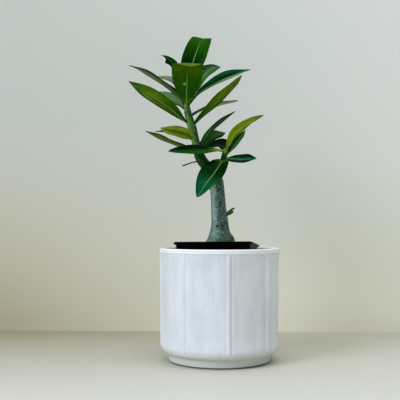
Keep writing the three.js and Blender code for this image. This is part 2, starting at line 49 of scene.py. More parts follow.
# %% [markdown]
# ## Tools for the bench
# An operator works on whatever is selected, so each piece starts with nothing selected. A modifier is applied as
# soon as it is set, which leaves a plain mesh. A value for every vertex can be noted under a name, for a material
# to read. Two more helpers turn a colour from a paint chip into the linear values that light works with, and add
# one node to a material with its settings and its links.


# %% Helpers for shapes
def start_piece():
    if bpy.context.object and bpy.context.object.mode == "EDIT":
        bpy.ops.object.mode_set(mode="OBJECT")
    bpy.ops.object.select_all(action="DESELECT")


def named(name):
    piece = bpy.context.object
    piece.name = piece.data.name = name
    return piece


def put_in(name, data):
    thing = bpy.data.objects.new(name, data)
    bpy.context.scene.collection.objects.link(thing)
    return thing


def pick(*pieces):
    start_piece()
    for piece in pieces:
        piece.select_set(True)
    bpy.context.view_layer.objects.active = pieces[0]


def join(name, pieces):
    pick(*pieces)
    bpy.ops.object.join()
    return named(name)


def modify(piece, kind, **settings):
    pick(piece)
    modifier = piece.modifiers.new(kind.lower(), kind)
    for key, value in settings.items():
        setattr(modifier, key, value)
    bpy.ops.object.modifier_apply(modifier=modifier.name)


def edit_all():
    bpy.ops.object.mode_set(mode="EDIT")
    bpy.ops.mesh.select_all(action="SELECT")


def grow_rings(levels, last):
    """Extrudes the selected ring upwards through the levels and scales it to each radius, as with E and S."""
    for radius, height in levels:
        bpy.ops.mesh.extrude_region_move(TRANSFORM_OT_translate={"value": (0, 0, (height - last[1]) * MM)})
        scale = radius / last[0]
        bpy.ops.transform.resize(value=(scale, scale, 1), center_override=(0, 0, height * MM))
        last = (radius, height)
    bpy.ops.object.mode_set(mode="OBJECT")


def outwards(piece):
    pick(piece)
    edit_all()
    bpy.ops.mesh.remove_doubles(threshold=0.001 * MM)
    bpy.ops.mesh.normals_make_consistent(inside=False)
    bpy.ops.object.mode_set(mode="OBJECT")


def soften(piece, degrees):
    """Shades the faces smooth, but keeps every edge that is sharper than the angle."""
    pick(piece)
    bpy.ops.object.shade_smooth_by_angle(angle=math.radians(degrees))


def note(piece, name, values, kind="FLOAT", field="value"):
    piece.data.attributes.new(name, kind, "POINT").data.foreach_set(field, values)


def hand_in(piece, material, slot, *nodes):
    """Gives a finished piece its material and puts it in the place of its CAD nodes."""
    piece.data.materials.clear()
    piece.data.materials.append(material)
    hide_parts(*nodes)
    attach(piece, "root")
    piece.data.calc_loop_triangles()
    size = [round(side / MM, 1) for side in piece.dimensions]
    print(piece.name, "mm:", size, "triangles:", len(piece.data.loop_triangles))


# %% Helpers for finishes
def linear(colour):
    """A six-digit sRGB colour as linear red, green, blue and alpha."""
    channels = [int(colour[at : at + 2], 16) / 255 for at in (1, 3, 5)]
    return (*[c / 12.92 if c <= 0.04045 else ((c + 0.055) / 1.055) ** 2.4 for c in channels], 1)


def new_material(name):
    """A material with its tree, its shader and the coordinates of the piece that wears it."""
    material = bpy.data.materials.new(name)
    material.use_nodes = True
    tree = material.node_tree
    return material, tree, tree.nodes["Principled BSDF"], add(tree, "TexCoord").outputs["Object"]


def wire(node, **settings):
    """Sets a node up. A setting is a property, or is for a socket: a number, a colour, an output or a node."""
    for key, value in settings.items():
        if hasattr(node, key):
            setattr(node, key, value)
            continue
        socket = node.inputs[int(key[1:]) if key[0] == "_" else key.replace("_", " ")]
        if isinstance(value, bpy.types.Node):
            value = next(output for output in value.outputs if output.enabled)
        if isinstance(value, bpy.types.NodeSocket):
            node.id_data.links.new(value, socket)
        else:
            socket.default_value = linear(value) if isinstance(value, str) else value
    return node


def add(tree, kind, **settings):
    return wire(tree.nodes.new("ShaderNode" + kind), **settings)


def wave_mm(size):
    """The scale of a noise whose blotches are `size` millimetres across."""
    return 1 / (size * MM)


# %% [markdown]
# ## Camera, wall and floor
# The ellipses of the rim and the foot give the camera: 84 cm from the pot's axis and 15.4 cm above the floor, with
# a lens of 64.6 mm. Floor and wall are pale planes with painted shade: darker at the left, and the floor darker
# towards its far end. The wall also has painted light: it is brighter to the right, and lighter and yellowish low
# down, where it meets the floor. The wall is clear from its back, so that the plant can be looked at from behind as
# well.

# %% Camera
LENS, FILM_WIDTH = 64.62, 36
CAMERA_DISTANCE, CAMERA_HEIGHT = 840, 154
CAMERA_TILT, CAMERA_TURN = 92.14, 1.56

camera_data = bpy.data.cameras.new("camera")
camera_data.lens = LENS
camera_data.sensor_width = FILM_WIDTH
camera = put_in("camera", camera_data)
camera.location = (0, -CAMERA_DISTANCE * MM, CAMERA_HEIGHT * MM)
camera.rotation_euler = (math.radians(CAMERA_TILT), 0, math.radians(CAMERA_TURN))
bpy.context.scene.camera = camera
print("camera at", [round(side, 3) for side in camera.location])

# %% Floor and wall
WALL_BEHIND = 223
PLANE_SIDE = 8000

start_piece()
bpy.ops.mesh.primitive_plane_add(size=PLANE_SIDE * MM)
floor = named("floor")
stone, tree, shader, place = new_material("pale_floor")
spots = add(tree, "TexNoise", Vector=place, Scale=wave_mm(9), Detail=4)
tint = add(tree, "Mix", data_type="RGBA", _0=spots, _6="#D6D5CD", _7="#DEDED8")
metres = add(tree, "SeparateXYZ", Vector=place).outputs
# Painted shade: towards the far end, and most at the left, the floor turns darker and browner.
far = add(tree, "MapRange", Value=metres["Y"], From_Min=-0.25, From_Max=0.22)
left = add(tree, "MapRange", Value=metres["X"], From_Min=-0.3, From_Max=0.2, To_Min=1, To_Max=0.5)
floor_and_wall_painted_shade = add(tree, "Math", operation="MULTIPLY", _0=far, _1=left)
tint = add(tree, "Mix", data_type="RGBA", _0=floor_and_wall_painted_shade, _6=tint, _7="#9C977C")
wire(shader, Base_Color=tint, Roughness=0.6)
floor.data.materials.append(stone)

start_piece()
middle = (0, WALL_BEHIND * MM, PLANE_SIDE / 2 * MM)
bpy.ops.mesh.primitive_plane_add(size=PLANE_SIDE * MM, location=middle, rotation=(math.pi / 2, 0, 0))
wall = named("backdrop")
plaster, tree, shader, place = new_material("pale_wall")
metres = add(tree, "SeparateXYZ", Vector=place).outputs
# Painted light: the wall gets brighter towards the right.
right = add(tree, "MapRange", Value=metres["X"], From_Min=-0.3, From_Max=0.3)
# Painted light: low down, near the floor, the wall is lighter and yellowish.
low = add(tree, "MapRange", Value=metres["Y"], From_Min=-3.98, From_Max=-3.7, To_Min=1, To_Max=0)
left = add(tree, "MapRange", Value=metres["X"], From_Min=-0.32, From_Max=0.02, To_Min=0.8, To_Max=0)
# Painted shade: at the lower left the wall turns darker and browner.
floor_and_wall_painted_shade = add(tree, "Math", operation="MULTIPLY", _0=low, _1=left)
coat = add(tree, "Mix", data_type="RGBA", _0=right, _6="#CCCFC8", _7="#E2E4DE")
for share, colour in [(low, "#ECEAD9"), (floor_and_wall_painted_shade, "#B4AC90")]:
    coat = add(tree, "Mix", data_type="RGBA", _0=share, _6=coat, _7=colour)
wire(shader, Base_Color=coat, Roughness=0.9)
behind = add(tree, "NewGeometry").outputs["Backfacing"]
both = add(tree, "MixShader", _0=behind, _1=shader, _2=add(tree, "BsdfTransparent"))
wire(tree.nodes["Material Output"], Surface=both)
wall.data.materials.append(plaster)
print("wall stands", WALL_BEHIND, "mm behind the pot's axis")

# %% [markdown]
# ## Light
# The room is lit by one big soft source from the left and the front, like a window, and by the pale walls round it.
# The right side of the pot still gets about half of the light, so the fill is strong. Soft boxes are area lights:
# the bigger the lamp, the softer the shadow. Both hang about 3 to 5 m away.


# %% Soft boxes
def soft_box(name, place, target, size, power, colour):
    data = bpy.data.lights.new(name, "AREA")
    data.shape = "DISK"
    data.size = size
    data.energy = power
    data.color = linear(colour)[:3]
    lamp = put_in(name, data)
    lamp.location = place
    lamp.rotation_euler = (Vector(target) - Vector(place)).to_track_quat("-Z", "Y").to_euler()


soft_box("window", (-3.1, -2.8, 2.7), (0, 0, 0.15), 2.5, 108, "#EAF0FF")
soft_box("ceiling", (0.4, -0.5, 3), (0, 0, 0), 2.6, 36, "#FFFFFF")
world = bpy.data.worlds.new("room")
world.use_nodes = True
wire(world.node_tree.nodes["Background"], Color="#E8ECEC", Strength=0.38)
bpy.context.scene.world = world
bpy.context.scene.view_settings.view_transform = "Standard"
bpy.context.scene.view_settings.look = "Medium High Contrast"
print("lamps:", [lamp.name for lamp in bpy.data.lights])

# %% [markdown]
# ## Ceramic pot
# A slip-cast pot: a conical drum with eight upright ribs, flatter panels between them, a rounded rim with a groove
# under it and a narrower foot. It could be turned with Spin, but a ring that is extruded and scaled level by level
# is just as true and keeps even faces on the wall. The ribs are a little uneven on the real pot, so they are
# pressed out by a rule that reads the direction and height of each vertex.

# %% Turn the drum
POT_SIDES, WALL_STEPS = 600, 34
FOOT_RADIUS = 57.9
fillet = [(61.3 + 7 * math.sin(a), 20 - 10 * math.cos(a)) for a in (math.radians(11 * step) for step in range(9))]
wall_rows = [
    (68.35 + 0.85 * step / WALL_STEPS, 20.8 + 102.4 * step / WALL_STEPS) for step in range(WALL_STEPS + 1)
]
rim = [
    (69.3, 123.9), (69.45, 124.3), (69.75, 124.65), (69.92, 124.95), (69.92, 125.8), (69.8, 126.15), (69.3, 126.5),
    (69.3, 126.75), (69.75, 127.05), (69.92, 127.4), (69.88, 128.1), (69.65, 128.8), (69.1, 129.25), (68.3, 129.48),
    (67.2, 129.5), (66.2, 129.45), (65.4, 129.15), (64.95, 128.6), (64.8, 127.9),
]
inside = [(64.4, 100), (63.9, 60), (63.3, 26), (62.4, 19), (60.2, 15), (56.8, 12.8), (53.3, 12)]
profile = [(58.45, 0.2), (58.68, 0.7), (58.8, 1.5), (59.6, 9), (59.75, 9.7), (60.1, 10), (61, 10)]
profile += fillet + wall_rows + rim + inside

start_piece()
bpy.ops.mesh.primitive_circle_add(vertices=POT_SIDES, radius=FOOT_RADIUS * MM, fill_type="NGON")
pot = named("glazed_cachepot")
edit_all()
grow_rings(profile, (FOOT_RADIUS, 0))
print("rings on the pot:", len(profile) + 1)

# %% Press out the ribs
RIBS = [-35.4, 8.4, 51.2, 98, 144, 190, 235.5, 280]
RIB_HEIGHT, RIB_HALF_WIDTH, RIB_GROOVE = 0.85, 2.8, 0.45
PANEL_HOLLOW = 2
WALL_RADIUS, INNER_RADIUS = 69.2, 65.5
RIB_START, RIB_END, RIM_START = 20, 122.6, 124.1
RUN_AZIMUTH, RUN_HEIGHT, RUN_DEPTH = -36.7, 47, 0.5


def ease(start, end, value):
    """0 below start, 1 above end, and a smooth step between them."""
    share = min(1, max(0, (value - start) / (end - start)))
    return share * share * (3 - 2 * share)


def bump(value, middle, reach):
    """1 in the middle and nearly 0 at twice the reach from it."""
    return math.exp(-(((value - middle) / reach) ** 2))


def waver(x, y, z):
    """A smooth chance value near 0 that belongs to the place."""
    return noise.noise(Vector((x, y, z)))


def rib_and_hollow(azimuth):
    """How far the wall stands out and how far it falls in at a direction, in millimetres."""
    turned = (azimuth - RIBS[0]) % 360
    edges = [angle - RIBS[0] for angle in RIBS] + [360]
    panel = max(number for number in range(len(RIBS)) if edges[number] <= turned)
    start, end = edges[panel], edges[panel + 1]
    off = min(turned - start, end - turned) * math.pi / 180 * WALL_RADIUS
    rib = RIB_HEIGHT * max(0, 1 - (off / RIB_HALF_WIDTH) ** 2) ** 1.2
    rib -= RIB_GROOVE * bump(off, RIB_HALF_WIDTH + 0.4, 0.7)
    across = (turned - start) / (end - start)
    return rib, PANEL_HOLLOW * (1 - (2 * across - 1) ** 2)


for vertex in pot.data.vertices:
    x, y, z = (side / MM for side in vertex.co)
    radius = math.hypot(x, y)
    if radius < INNER_RADIUS or z > RIM_START:
        continue
    azimuth = math.degrees(math.atan2(x, -y))
    rib, hollow = rib_and_hollow(azimuth)
    rib *= ease(15, RIB_START, z) * (1 - ease(RIB_END, RIM_START, z))
    hollow *= ease(16, 34, z) * (1 - ease(104, 124, z))
    run = RUN_DEPTH * bump(azimuth, RUN_AZIMUTH, 0.9) * bump(z, RUN_HEIGHT, 5)
    uneven = 0.12 * waver(x / 14, y / 14, z / 45)
    reach = (radius + rib - hollow + run + uneven) / radius
    vertex.co.x *= reach
    vertex.co.y *= reach
soften(pot, 50)
print("widest radius in mm:", round(max(math.hypot(v.co.x, v.co.y) for v in pot.data.vertices) / MM, 2))

# %% [markdown]
# ## White glaze
# Stoneware under an opaque white glaze. Fired glass has an IOR near 1.5 and is smooth, but this one is satin: it
# shows the window as a soft sheen. Glaze never lies quite even. It runs down in slow streaks a few centimetres
# long, so colour, gloss and surface drift a little, at the scale of a fingertip. The rim gets a painted highlight,
# whitest of all. The foot gets painted shade and is greyer. Its lowest millimetre is unglazed clay, because glaze
# there would stick to the kiln shelf, and it is painted dark as the contact shadow where the foot meets the floor.

# %% Mix the glaze
glaze, tree, shader, place = new_material("white_stoneware_glaze")
height = add(tree, "SeparateXYZ", Vector=place).outputs["Z"]
stretched = add(tree, "Mapping", Vector=place, Scale=(1, 1, 0.35))
cloud = add(tree, "TexNoise", Vector=stretched, Scale=wave_mm(17), Detail=3, Roughness=0.55)
patch = add(tree, "MapRange", Value=cloud, From_Min=0.35, From_Max=0.65)
drawn = add(tree, "Mapping", Vector=place, Scale=(1, 1, 0.06))
streak = add(tree, "TexNoise", Vector=drawn, Scale=wave_mm(5), Detail=3, Roughness=0.6)
thin = add(tree, "MapRange", Value=streak, From_Min=0.52, From_Max=0.7, To_Max=0.28)
# Painted highlight: the rim bead is painted near white.
painted_rim_highlight = add(tree, "MapRange", Value=height, From_Min=0.1236, From_Max=0.1256, To_Max=0.85)
# Painted shade: the foot, under the overhang of the wall, is painted greyer.
painted_foot_shade = add(tree, "MapRange", Value=height, From_Min=0.012, From_Max=0.019, To_Min=1, To_Max=0)
# The lowest millimetre is unglazed clay, painted dark as the contact shadow where the foot meets the floor.
unglazed_clay_and_contact_shadow = add(tree, "MapRange", Value=height, From_Min=0.0012, From_Max=0.0018, To_Min=1, To_Max=0)
body = add(tree, "Mix", data_type="RGBA", _0=patch, _6="#DCE2E8", _7="#E9EDF1")
for share, colour in [(thin, "#C9CFD6"), (painted_rim_highlight, "#F8FBFC"), (painted_foot_shade, "#DADDD8"), (unglazed_clay_and_contact_shadow, "#6A665C")]:
    body = add(tree, "Mix", data_type="RGBA", _0=share, _6=body, _7=colour)
gloss = add(tree, "MapRange", Value=cloud, To_Min=0.34, To_Max=0.5)
orange_peel = add(tree, "TexNoise", Vector=place, Scale=wave_mm(3.5), Detail=2)
both = add(tree, "Math", operation="MULTIPLY_ADD", _0=orange_peel, _1=0.12, _2=cloud)
relief = add(tree, "Bump", Height=both, Strength=0.22, Distance=1.2 * MM)
wire(shader, Base_Color=body, Roughness=gloss, Normal=relief, IOR=1.5)
hand_in(pot, glaze, "white_glaze", "cachepot")

# %% [markdown]
# ## Growing pot
# A thermoformed square pot of thin black plastic, with round corners, a taper and a flat rolled lip, leaning a
# little in the ceramic one. One plane does it: its corners are bevelled, then it is extruded up the outside, over
# the lip and down the inside to the floor. Drain holes are cut with cylinders.

# %% Form the growing pot
GROW_X, GROW_Y, GROW_LEAN, GROW_YAW = -1.9, -7.4, 4.1, -9
DRAIN_RADIUS, DRAIN_OFF = 4, 19
walls = [(31.9, 0.3), (32.05, 1), (42.35, 116.6), (42.55, 117.3)]
lip = [(43.9, 117.4), (44.3, 117.6), (44.4, 118), (44.4, 119.5), (44.3, 119.85), (44, 120), (42.1, 120)]
inner = [(41.8, 119.8), (41.7, 119), (31.2, 1.5), (30.4, 1.05)]

start_piece()
bpy.ops.mesh.primitive_plane_add(size=63 * MM)
grow_pot = named("black_growing_pot")
edit_all()
bpy.ops.mesh.bevel(offset=5 * MM, segments=7, affect="VERTICES")
grow_rings(walls + lip + inner, (31.5, 0))

start_piece()
corners = [(x, y) for x in (-DRAIN_OFF, DRAIN_OFF) for y in (-DRAIN_OFF, DRAIN_OFF)]
for x, y in [(0, 0), *corners]:
    at = (x * MM, y * MM, 0)
    bpy.ops.mesh.primitive_cylinder_add(vertices=28, radius=DRAIN_RADIUS * MM, depth=6 * MM, location=at)
    cutter = named("drill")
    modify(grow_pot, "BOOLEAN", operation="DIFFERENCE", object=cutter, solver="EXACT")
    bpy.data.objects.remove(cutter)
print("growing pot faces:", len(grow_pot.data.polygons))

# %% Set the growing pot down
POT_FLOOR, BASE_HALF, CORNER_CUT = 12.3, 32, 1.6
turned = math.radians(-GROW_YAW)
half_depth = BASE_HALF * (math.cos(turned) + math.sin(turned)) - CORNER_CUT
grow_lift = POT_FLOOR + half_depth * math.sin(math.radians(GROW_LEAN))
lean = Matrix.Rotation(math.radians(-GROW_LEAN), 4, "X")
turn = Matrix.Rotation(math.radians(GROW_YAW), 4, "Z")
grow_pose = Matrix.Translation((GROW_X * MM, GROW_Y * MM, grow_lift * MM)) @ lean @ turn


def set_down(piece):
    """Turns and leans a piece of the growing pot or its filling, and lifts it to the ceramic floor."""
    piece.matrix_world = grow_pose
    pick(piece)
    bpy.ops.object.transform_apply(location=True, rotation=True, scale=True)


set_down(grow_pot)
soften(grow_pot, 35)
print("growing pot's top in mm:", round(max(v.co.z for v in grow_pot.data.vertices) / MM, 2))

# %% [markdown]
# ## Black plastic
# Recycled polypropylene, drawn over a mould: deep black, satin, with a fine grain of the mould and a few pale
# dusty scuffs. Its IOR is 1.49.

# %% Mix the plastic
plastic, tree, shader, place = new_material("black_polypropylene")
dust = add(tree, "TexNoise", Vector=place, Scale=wave_mm(14), Detail=6, Roughness=0.65)
dusty = add(tree, "MapRange", Value=dust, From_Min=0.52, From_Max=0.8)
body = add(tree, "Mix", data_type="RGBA", _0=dusty, _6="#030506", _7="#14181A")
gloss = add(tree, "MapRange", Value=dust, To_Min=0.24, To_Max=0.45)
grain = add(tree, "TexNoise", Vector=place, Scale=wave_mm(0.9), Detail=2)
relief = add(tree, "Bump", Height=grain, Strength=0.2, Distance=0.3 * MM)
wire(shader, Base_Color=body, Roughness=gloss, Normal=relief, IOR=1.49, Specular_IOR_Level=0.05)
hand_in(grow_pot, plastic, "black_plastic", "nursery_pot")

# %% [markdown]
# ## Stem
# The caudex is one swollen stem that parts into a tall shoot and a short one. Each limb is a curve with its own
# radius at every point. The two are turned to meshes, joined, and remeshed as one skin, so that the fork flows
# together as grown wood does. Low ovals where leaves have dropped go in before the remesh, so they melt in too.


# %% Lines through points
def on_curve(points, share):
    """A point of the smooth line through the points (Catmull-Rom), at a share from first to last."""
    span = share * (len(points) - 1)
    at = min(int(span), len(points) - 2)
    part = span - at
    second, third = points[at], points[at + 1]
    first = points[at - 1] if at > 0 else 2 * second - third
    fourth = points[at + 2] if at + 2 < len(points) else 2 * third - second
    leave, arrive = (third - first) / 2, (fourth - second) / 2
    square, cube = part * part, part * part * part
    return (
        (2 * cube - 3 * square + 1) * second
        + (cube - 2 * square + part) * leave
        + (3 * square - 2 * cube) * third
        + (cube - square) * arrive
    )


TRUNK = [
    (2, 0, 104, 9), (1.6, 0, 116, 14.5), (1, 0, 130, 18.5), (1, 0, 138.8, 16.3), (0.6, 0, 144.6, 13.4),
    (0.5, 0, 150.5, 11.3), (0.3, 0, 160, 9.8), (-0.9, 0.5, 174, 9), (-1.6, 1, 185.6, 8.8), (-2.6, 1.5, 197.3, 8.3),
    (-4.1, 1.5, 208.5, 8), (-9.5, 1, 218.8, 7.2), (-16.2, 0.5, 226, 6.4), (-21, 0, 232.5, 6.3),
    (-24.1, 0, 239.5, 6.1), (-26.6, 0, 249, 5), (-29.2, 0, 259.5, 4.6), (-31.5, 0, 268.5, 5.2),
    (-35.3, 0, 280.5, 4.8), (-37.7, 0, 291.5, 4), (-38.6, 0, 299.5, 3), (-38.8, 0, 305, 1.4),
]
BRANCH = [
    (-3.5, 0.5, 209, 4.6), (0, 0, 219, 3.9), (2.8, -0.5, 228, 3.6), (5.3, -1, 236, 3.5), (6.9, -1, 242.5, 3.2),
    (7.4, -1, 246.5, 1.4),
]


def limb(name, stations, steps, sides):
    """A round limb: a curve through the stations with a radius at each point, turned to a mesh."""
    data = bpy.data.curves.new(name, "CURVE")
    data.dimensions = "3D"
    data.bevel_depth = 1
    data.bevel_resolution = sides // 4
    data.use_fill_caps = True
    count = steps * (len(stations) - 1)
    spline = data.splines.new("POLY")
    spline.points.add(count)
    points = [Vector(station) for station in stations]
    for number, point in enumerate(spline.points):
        here = on_curve(points, number / count)
        point.co = (*[side * MM for side in here[:3]], 1)
        point.radius = here[3] * MM
    pick(put_in(name, data))
    bpy.ops.object.convert(target="MESH")
    return named(name)


# %% Grow the stem
SCAR_COUNT, LOWEST_SCAR, HIGHEST_SCAR = 12, 164.6, 288
SCAR_TURN, FIRST_TURN = 137.5, -227.5
scars = []
for number in range(SCAR_COUNT):
    height = LOWEST_SCAR + (HIGHEST_SCAR - LOWEST_SCAR) * number / (SCAR_COUNT - 1)
    above = next(station for station in range(len(TRUNK)) if TRUNK[station][2] > height)
    low, high = Vector(TRUNK[above - 1]), Vector(TRUNK[above])
    here = low.lerp(high, (height - low[2]) / (high[2] - low[2]))
    angle = math.radians(SCAR_TURN * number + FIRST_TURN)
    out = Vector((math.cos(angle), math.sin(angle), 0))
    scars.append((Vector(here[:3]) + out * (here[3] - 0.3), out, 0.45 + here[3] / 15))

BUD = Vector((-28.6, -1.5, 234.6))
parts = [limb("stem", TRUNK, 6, 48), limb("stem_branch", BRANCH, 6, 36)]
for place, out, size in [*scars, (BUD, Vector((-1, 0, 0)), 0.6)]:
    start_piece()
    bpy.ops.mesh.primitive_uv_sphere_add(segments=20, ring_count=10, radius=MM, location=place * MM)
    lump = named("scar_lump")
    lump.scale = (1.2, 2.4 * size, 1.2 * size)
    lump.rotation_euler = (0, 0, math.atan2(out.y, out.x))
    bpy.ops.object.transform_apply(location=True, rotation=True, scale=True)
    parts.append(lump)
stem = join("adenium_stem", parts)
modify(stem, "REMESH", mode="VOXEL", voxel_size=0.55 * MM, adaptivity=0)
modify(stem, "SMOOTH", factor=0.6, iterations=7)
print("stem vertices:", len(stem.data.vertices))

# %% Give the bark its relief
outward = [vertex.normal.copy() for vertex in stem.data.vertices]
for vertex, normal in zip(stem.data.vertices, outward):
    x, y, z = (side / MM for side in vertex.co)
    swell = waver(x / 11, y / 11, z / 16)
    ring = waver(x / 40, y / 40, z / 1.6)
    ringed = (1 - ease(150, 185, z)) * 0.16 + 0.05
    vertex.co += normal * (0.35 * swell * min(1, max(0, (300 - z) / 60)) + ringed * ring) * MM
pick(stem)
bpy.ops.object.shade_smooth()
print("stem top in mm:", round(max(vertex.co.z for vertex in stem.data.vertices) / MM, 1))

# %% Note where the bark changes
PORES = [(Vector((-2.9, -10.2, 154.8)), 1.5), (Vector((3.3, -9.8, 154.5)), 1.1)]
CREASE = Vector((-2.3, 0, 176))
marks = {"scar": [], "pore": [], "wax_bloom_and_painted_light": [], "shade": [], "bud": []}
for vertex, normal in zip(stem.data.vertices, outward):
    here = vertex.co / MM
    azimuth = math.degrees(math.atan2(normal.x, -normal.y))
    old = 1 - ease(210, 235, here.z)
    lateral = here.x - CREASE.x
    rise = here.z - CREASE.z - 1.4 * (lateral / 4.2) ** 2
    front = ease(-5, -3.9, -abs(lateral)) if normal.y < 0 else 0
    crease = 0.52 * front * max(0, 1 - abs(rise - 0.6) / 2.6)
    marks["pore"].append(max(crease, *[1 - (here - place).length / (2 * size) for place, size in PORES]))
    # Painted light: the bark is paler on the side towards the window and on the old stem's right edge. It is also
    # paler on the back, in random patches of wax frosting, and in a band under the crease of the front scar.
    wax_bloom_and_painted_light = bump(azimuth, -42, 30) + 0.35 * old * bump(azimuth, 85, 25)
    wax_bloom_and_painted_light += 0.4 * ease(100, 130, abs(azimuth)) + 0.3 * waver(here.x / 4, here.y / 4, here.z / 9)
    marks["wax_bloom_and_painted_light"].append(wax_bloom_and_painted_light + 1.6 * front * max(0, 1 - abs(rise + 1.5) / 0.9))
    fork = ease(-5, 1, here.x) * ease(213, 222, here.z)
    under_leaf = 0.95 * ease(212, 220, here.z) * (1 - ease(240, 250, here.z))
    marks["shade"].append(max(fork, under_leaf, (1 - old) * bump(azimuth, 95, 45)))
    marks["bud"].append(max(fork * ease(237, 242, here.z), ease(-3, -1.6, -(here - BUD).length)))
    scarred = 0
    for place, _, size in scars:
        off = here - place
        across = math.hypot(off.x, off.y) / (2.1 * size)
        scarred = max(scarred, 1 - math.hypot(across, off.z / (1.25 * size)) / 1.5)
    marks["scar"].append(scarred)
for name, values in marks.items():
    note(stem, name, values)
print("scars:", len(scars), "pores:", len(PORES))

# %% [markdown]
# ## Bark
# Adenium bark is a thin waxy skin over green flesh: grey-green and matt below, leaf green on the young shoots. It
# is mottled in upright flecks about 1.5 mm wide, and ringed and a little greener where the base has swollen; there
# painted shade also darkens it, where it goes into the soil. The flecks are paler towards the window and on the
# right edge, as painted light, and painted shade darkens the fork and the stem under the leaves. Leaf scars are
# pale ovals with a dark rim. Wax scatters light, so roughness is high and the IOR that of plant wax, 1.45.

# %% Find what lies where on the bark
bark, tree, shader, place = new_material("grey_green_bark")
height = add(tree, "SeparateXYZ", Vector=place).outputs["Z"]
scar, pore, wax_bloom_and_painted_light, shade, bud = [add(tree, "Attribute", attribute_name=name).outputs["Fac"] for name in marks]
upright = add(tree, "Mapping", Vector=place, Scale=(1, 1, 0.45))
fleck = add(tree, "TexNoise", Vector=upright, Scale=wave_mm(1.5), Detail=4, Roughness=0.65)
# Painted light, with some random wax frosting, makes the flecks paler.
frosted = add(tree, "Math", operation="MULTIPLY_ADD", _0=wax_bloom_and_painted_light, _1=0.28, _2=fleck)
flecked = add(tree, "MapRange", Value=frosted, From_Min=0.43, From_Max=0.83)
cloud = add(tree, "TexNoise", Vector=upright, Scale=wave_mm(12), Detail=2)
drift = add(tree, "MapRange", Value=cloud, From_Min=0.35, From_Max=0.7, To_Max=0.45)
# Painted shade: low on the base the bark turns greener and darker, where it goes into the soil.
foot = add(tree, "MapRange", Value=height, From_Min=0.13, From_Max=0.152, To_Min=0.6, To_Max=0)
wander = add(tree, "Math", operation="MULTIPLY_ADD", _0=cloud, _1=0.03, _2=height)
upper = add(tree, "MapRange", Value=wander, From_Min=0.206, From_Max=0.23)
level = add(tree, "Mapping", Vector=place, Scale=(0.12, 0.12, 1))
rings = add(tree, "TexNoise", Vector=level, Scale=wave_mm(1.5), Detail=2)
ringed = add(tree, "MapRange", Value=rings, From_Min=0.4, From_Max=0.6)
low = add(tree, "MapRange", Value=height, From_Min=0.13, From_Max=0.17, To_Min=0.4, To_Max=0.05)
ring_depth = add(tree, "Math", operation="MULTIPLY", _0=ringed, _1=low)
rim_mark = add(tree, "MapRange", Value=scar, From_Min=0.02, From_Max=0.3, To_Max=0.75)
pale_mark = add(tree, "MapRange", Value=scar, From_Min=0.32, From_Max=0.5, To_Max=0.5)
dot = add(tree, "MapRange", Value=pore, From_Min=0.35, From_Max=0.6)

# %% Lay the bark's colours over each other
skin = add(tree, "Mix", data_type="RGBA", _0=flecked, _6="#22382F", _7="#A4C8BC")
young = add(tree, "Mix", data_type="RGBA", _0=flecked, _6="#245420", _7="#7CA854")
for share, colour in [
    (drift, "#5F7264"), (foot, "#47664C"), (upper, young), (shade, "#10520A"),
    (bud, "#5E8A24"), (ring_depth, "#33493F"), (rim_mark, "#2F463C"),
    (pale_mark, "#8FA893"), (dot, "#0E1613"),
]:
    skin = add(tree, "Mix", data_type="RGBA", _0=share, _6=skin, _7=colour)
rough = add(tree, "MapRange", Value=upper, To_Min=0.62, To_Max=0.42)
both = add(tree, "Math", operation="ADD", _0=fleck, _1=ring_depth)
relief = add(tree, "Bump", Height=both, Strength=0.6, Distance=0.5 * MM)
wire(shader, Base_Color=skin, Roughness=rough, Normal=relief, IOR=1.45, Specular_IOR_Level=0.3)
hand_in(stem, bark, "bark", "trunk")

# %% [markdown]
# ## Soil
# Succulent growers use a gritty mix: bark chips, pumice and coarse sand. The mix is a block that fills the pot to
# 7.5 mm below its top edge, with a hole for the stem. Its top is a fine grid that is pushed up and down. On it lie
# 420 bark chips and 230 grains of pumice: one of each is modelled, then copied with its own turn and size.

# %% Fill the growing pot
SOIL_TOP, SOIL_BOTTOM, SOIL_HALF, SOIL_CORNER = 112.5, 2, 40.8, 6
SOIL_BOTTOM_HALF = 31.2
SOIL_CELLS = 88
STEM_GAP = 0.2


def crumbs(x, y):
    """Height of the uneven soil over its level, in millimetres."""
    coarse = waver(x / 13, y / 13, 3)
    fine = waver(x / 3.4, y / 3.4, 8)
    return 0.9 * coarse + 0.55 * fine


start_piece()
bpy.ops.mesh.primitive_grid_add(x_subdivisions=SOIL_CELLS, y_subdivisions=SOIL_CELLS, size=2 * SOIL_HALF * MM)
soil = named("gritty_soil")
edit_all()
bpy.ops.mesh.extrude_region_move(TRANSFORM_OT_translate={"value": (0, 0, -(SOIL_TOP - SOIL_BOTTOM) * MM)})
taper = SOIL_BOTTOM_HALF / SOIL_HALF
bpy.ops.transform.resize(value=(taper, taper, 1), center_override=(0, 0, 0))
bpy.ops.object.mode_set(mode="OBJECT")
bottom = min(vertex.co.z for vertex in soil.data.vertices)
for vertex in soil.data.vertices:
    on_top = vertex.co.z > bottom / 2
    straight = (SOIL_HALF if on_top else SOIL_HALF * taper) - SOIL_CORNER
    x, y = vertex.co.x / MM, vertex.co.y / MM
    over_x, over_y = max(0, abs(x) - straight), max(0, abs(y) - straight)
    if over_x and over_y:
        pull = max(over_x, over_y) / math.hypot(over_x, over_y)
        x = math.copysign(straight + over_x * pull, x)
        y = math.copysign(straight + over_y * pull, y)
    vertex.co = (x * MM, y * MM, ((SOIL_TOP + crumbs(x, y)) if on_top else SOIL_BOTTOM) * MM)
outwards(soil)
set_down(soil)
plug = limb("plug", [(x, y, z, radius + STEM_GAP) for x, y, z, radius in TRUNK[:5]], 4, 48)
modify(soil, "BOOLEAN", operation="DIFFERENCE", object=plug, solver="EXACT")
bpy.data.objects.remove(plug)
soften(soil, 60)
print("soil faces:", len(soil.data.polygons))

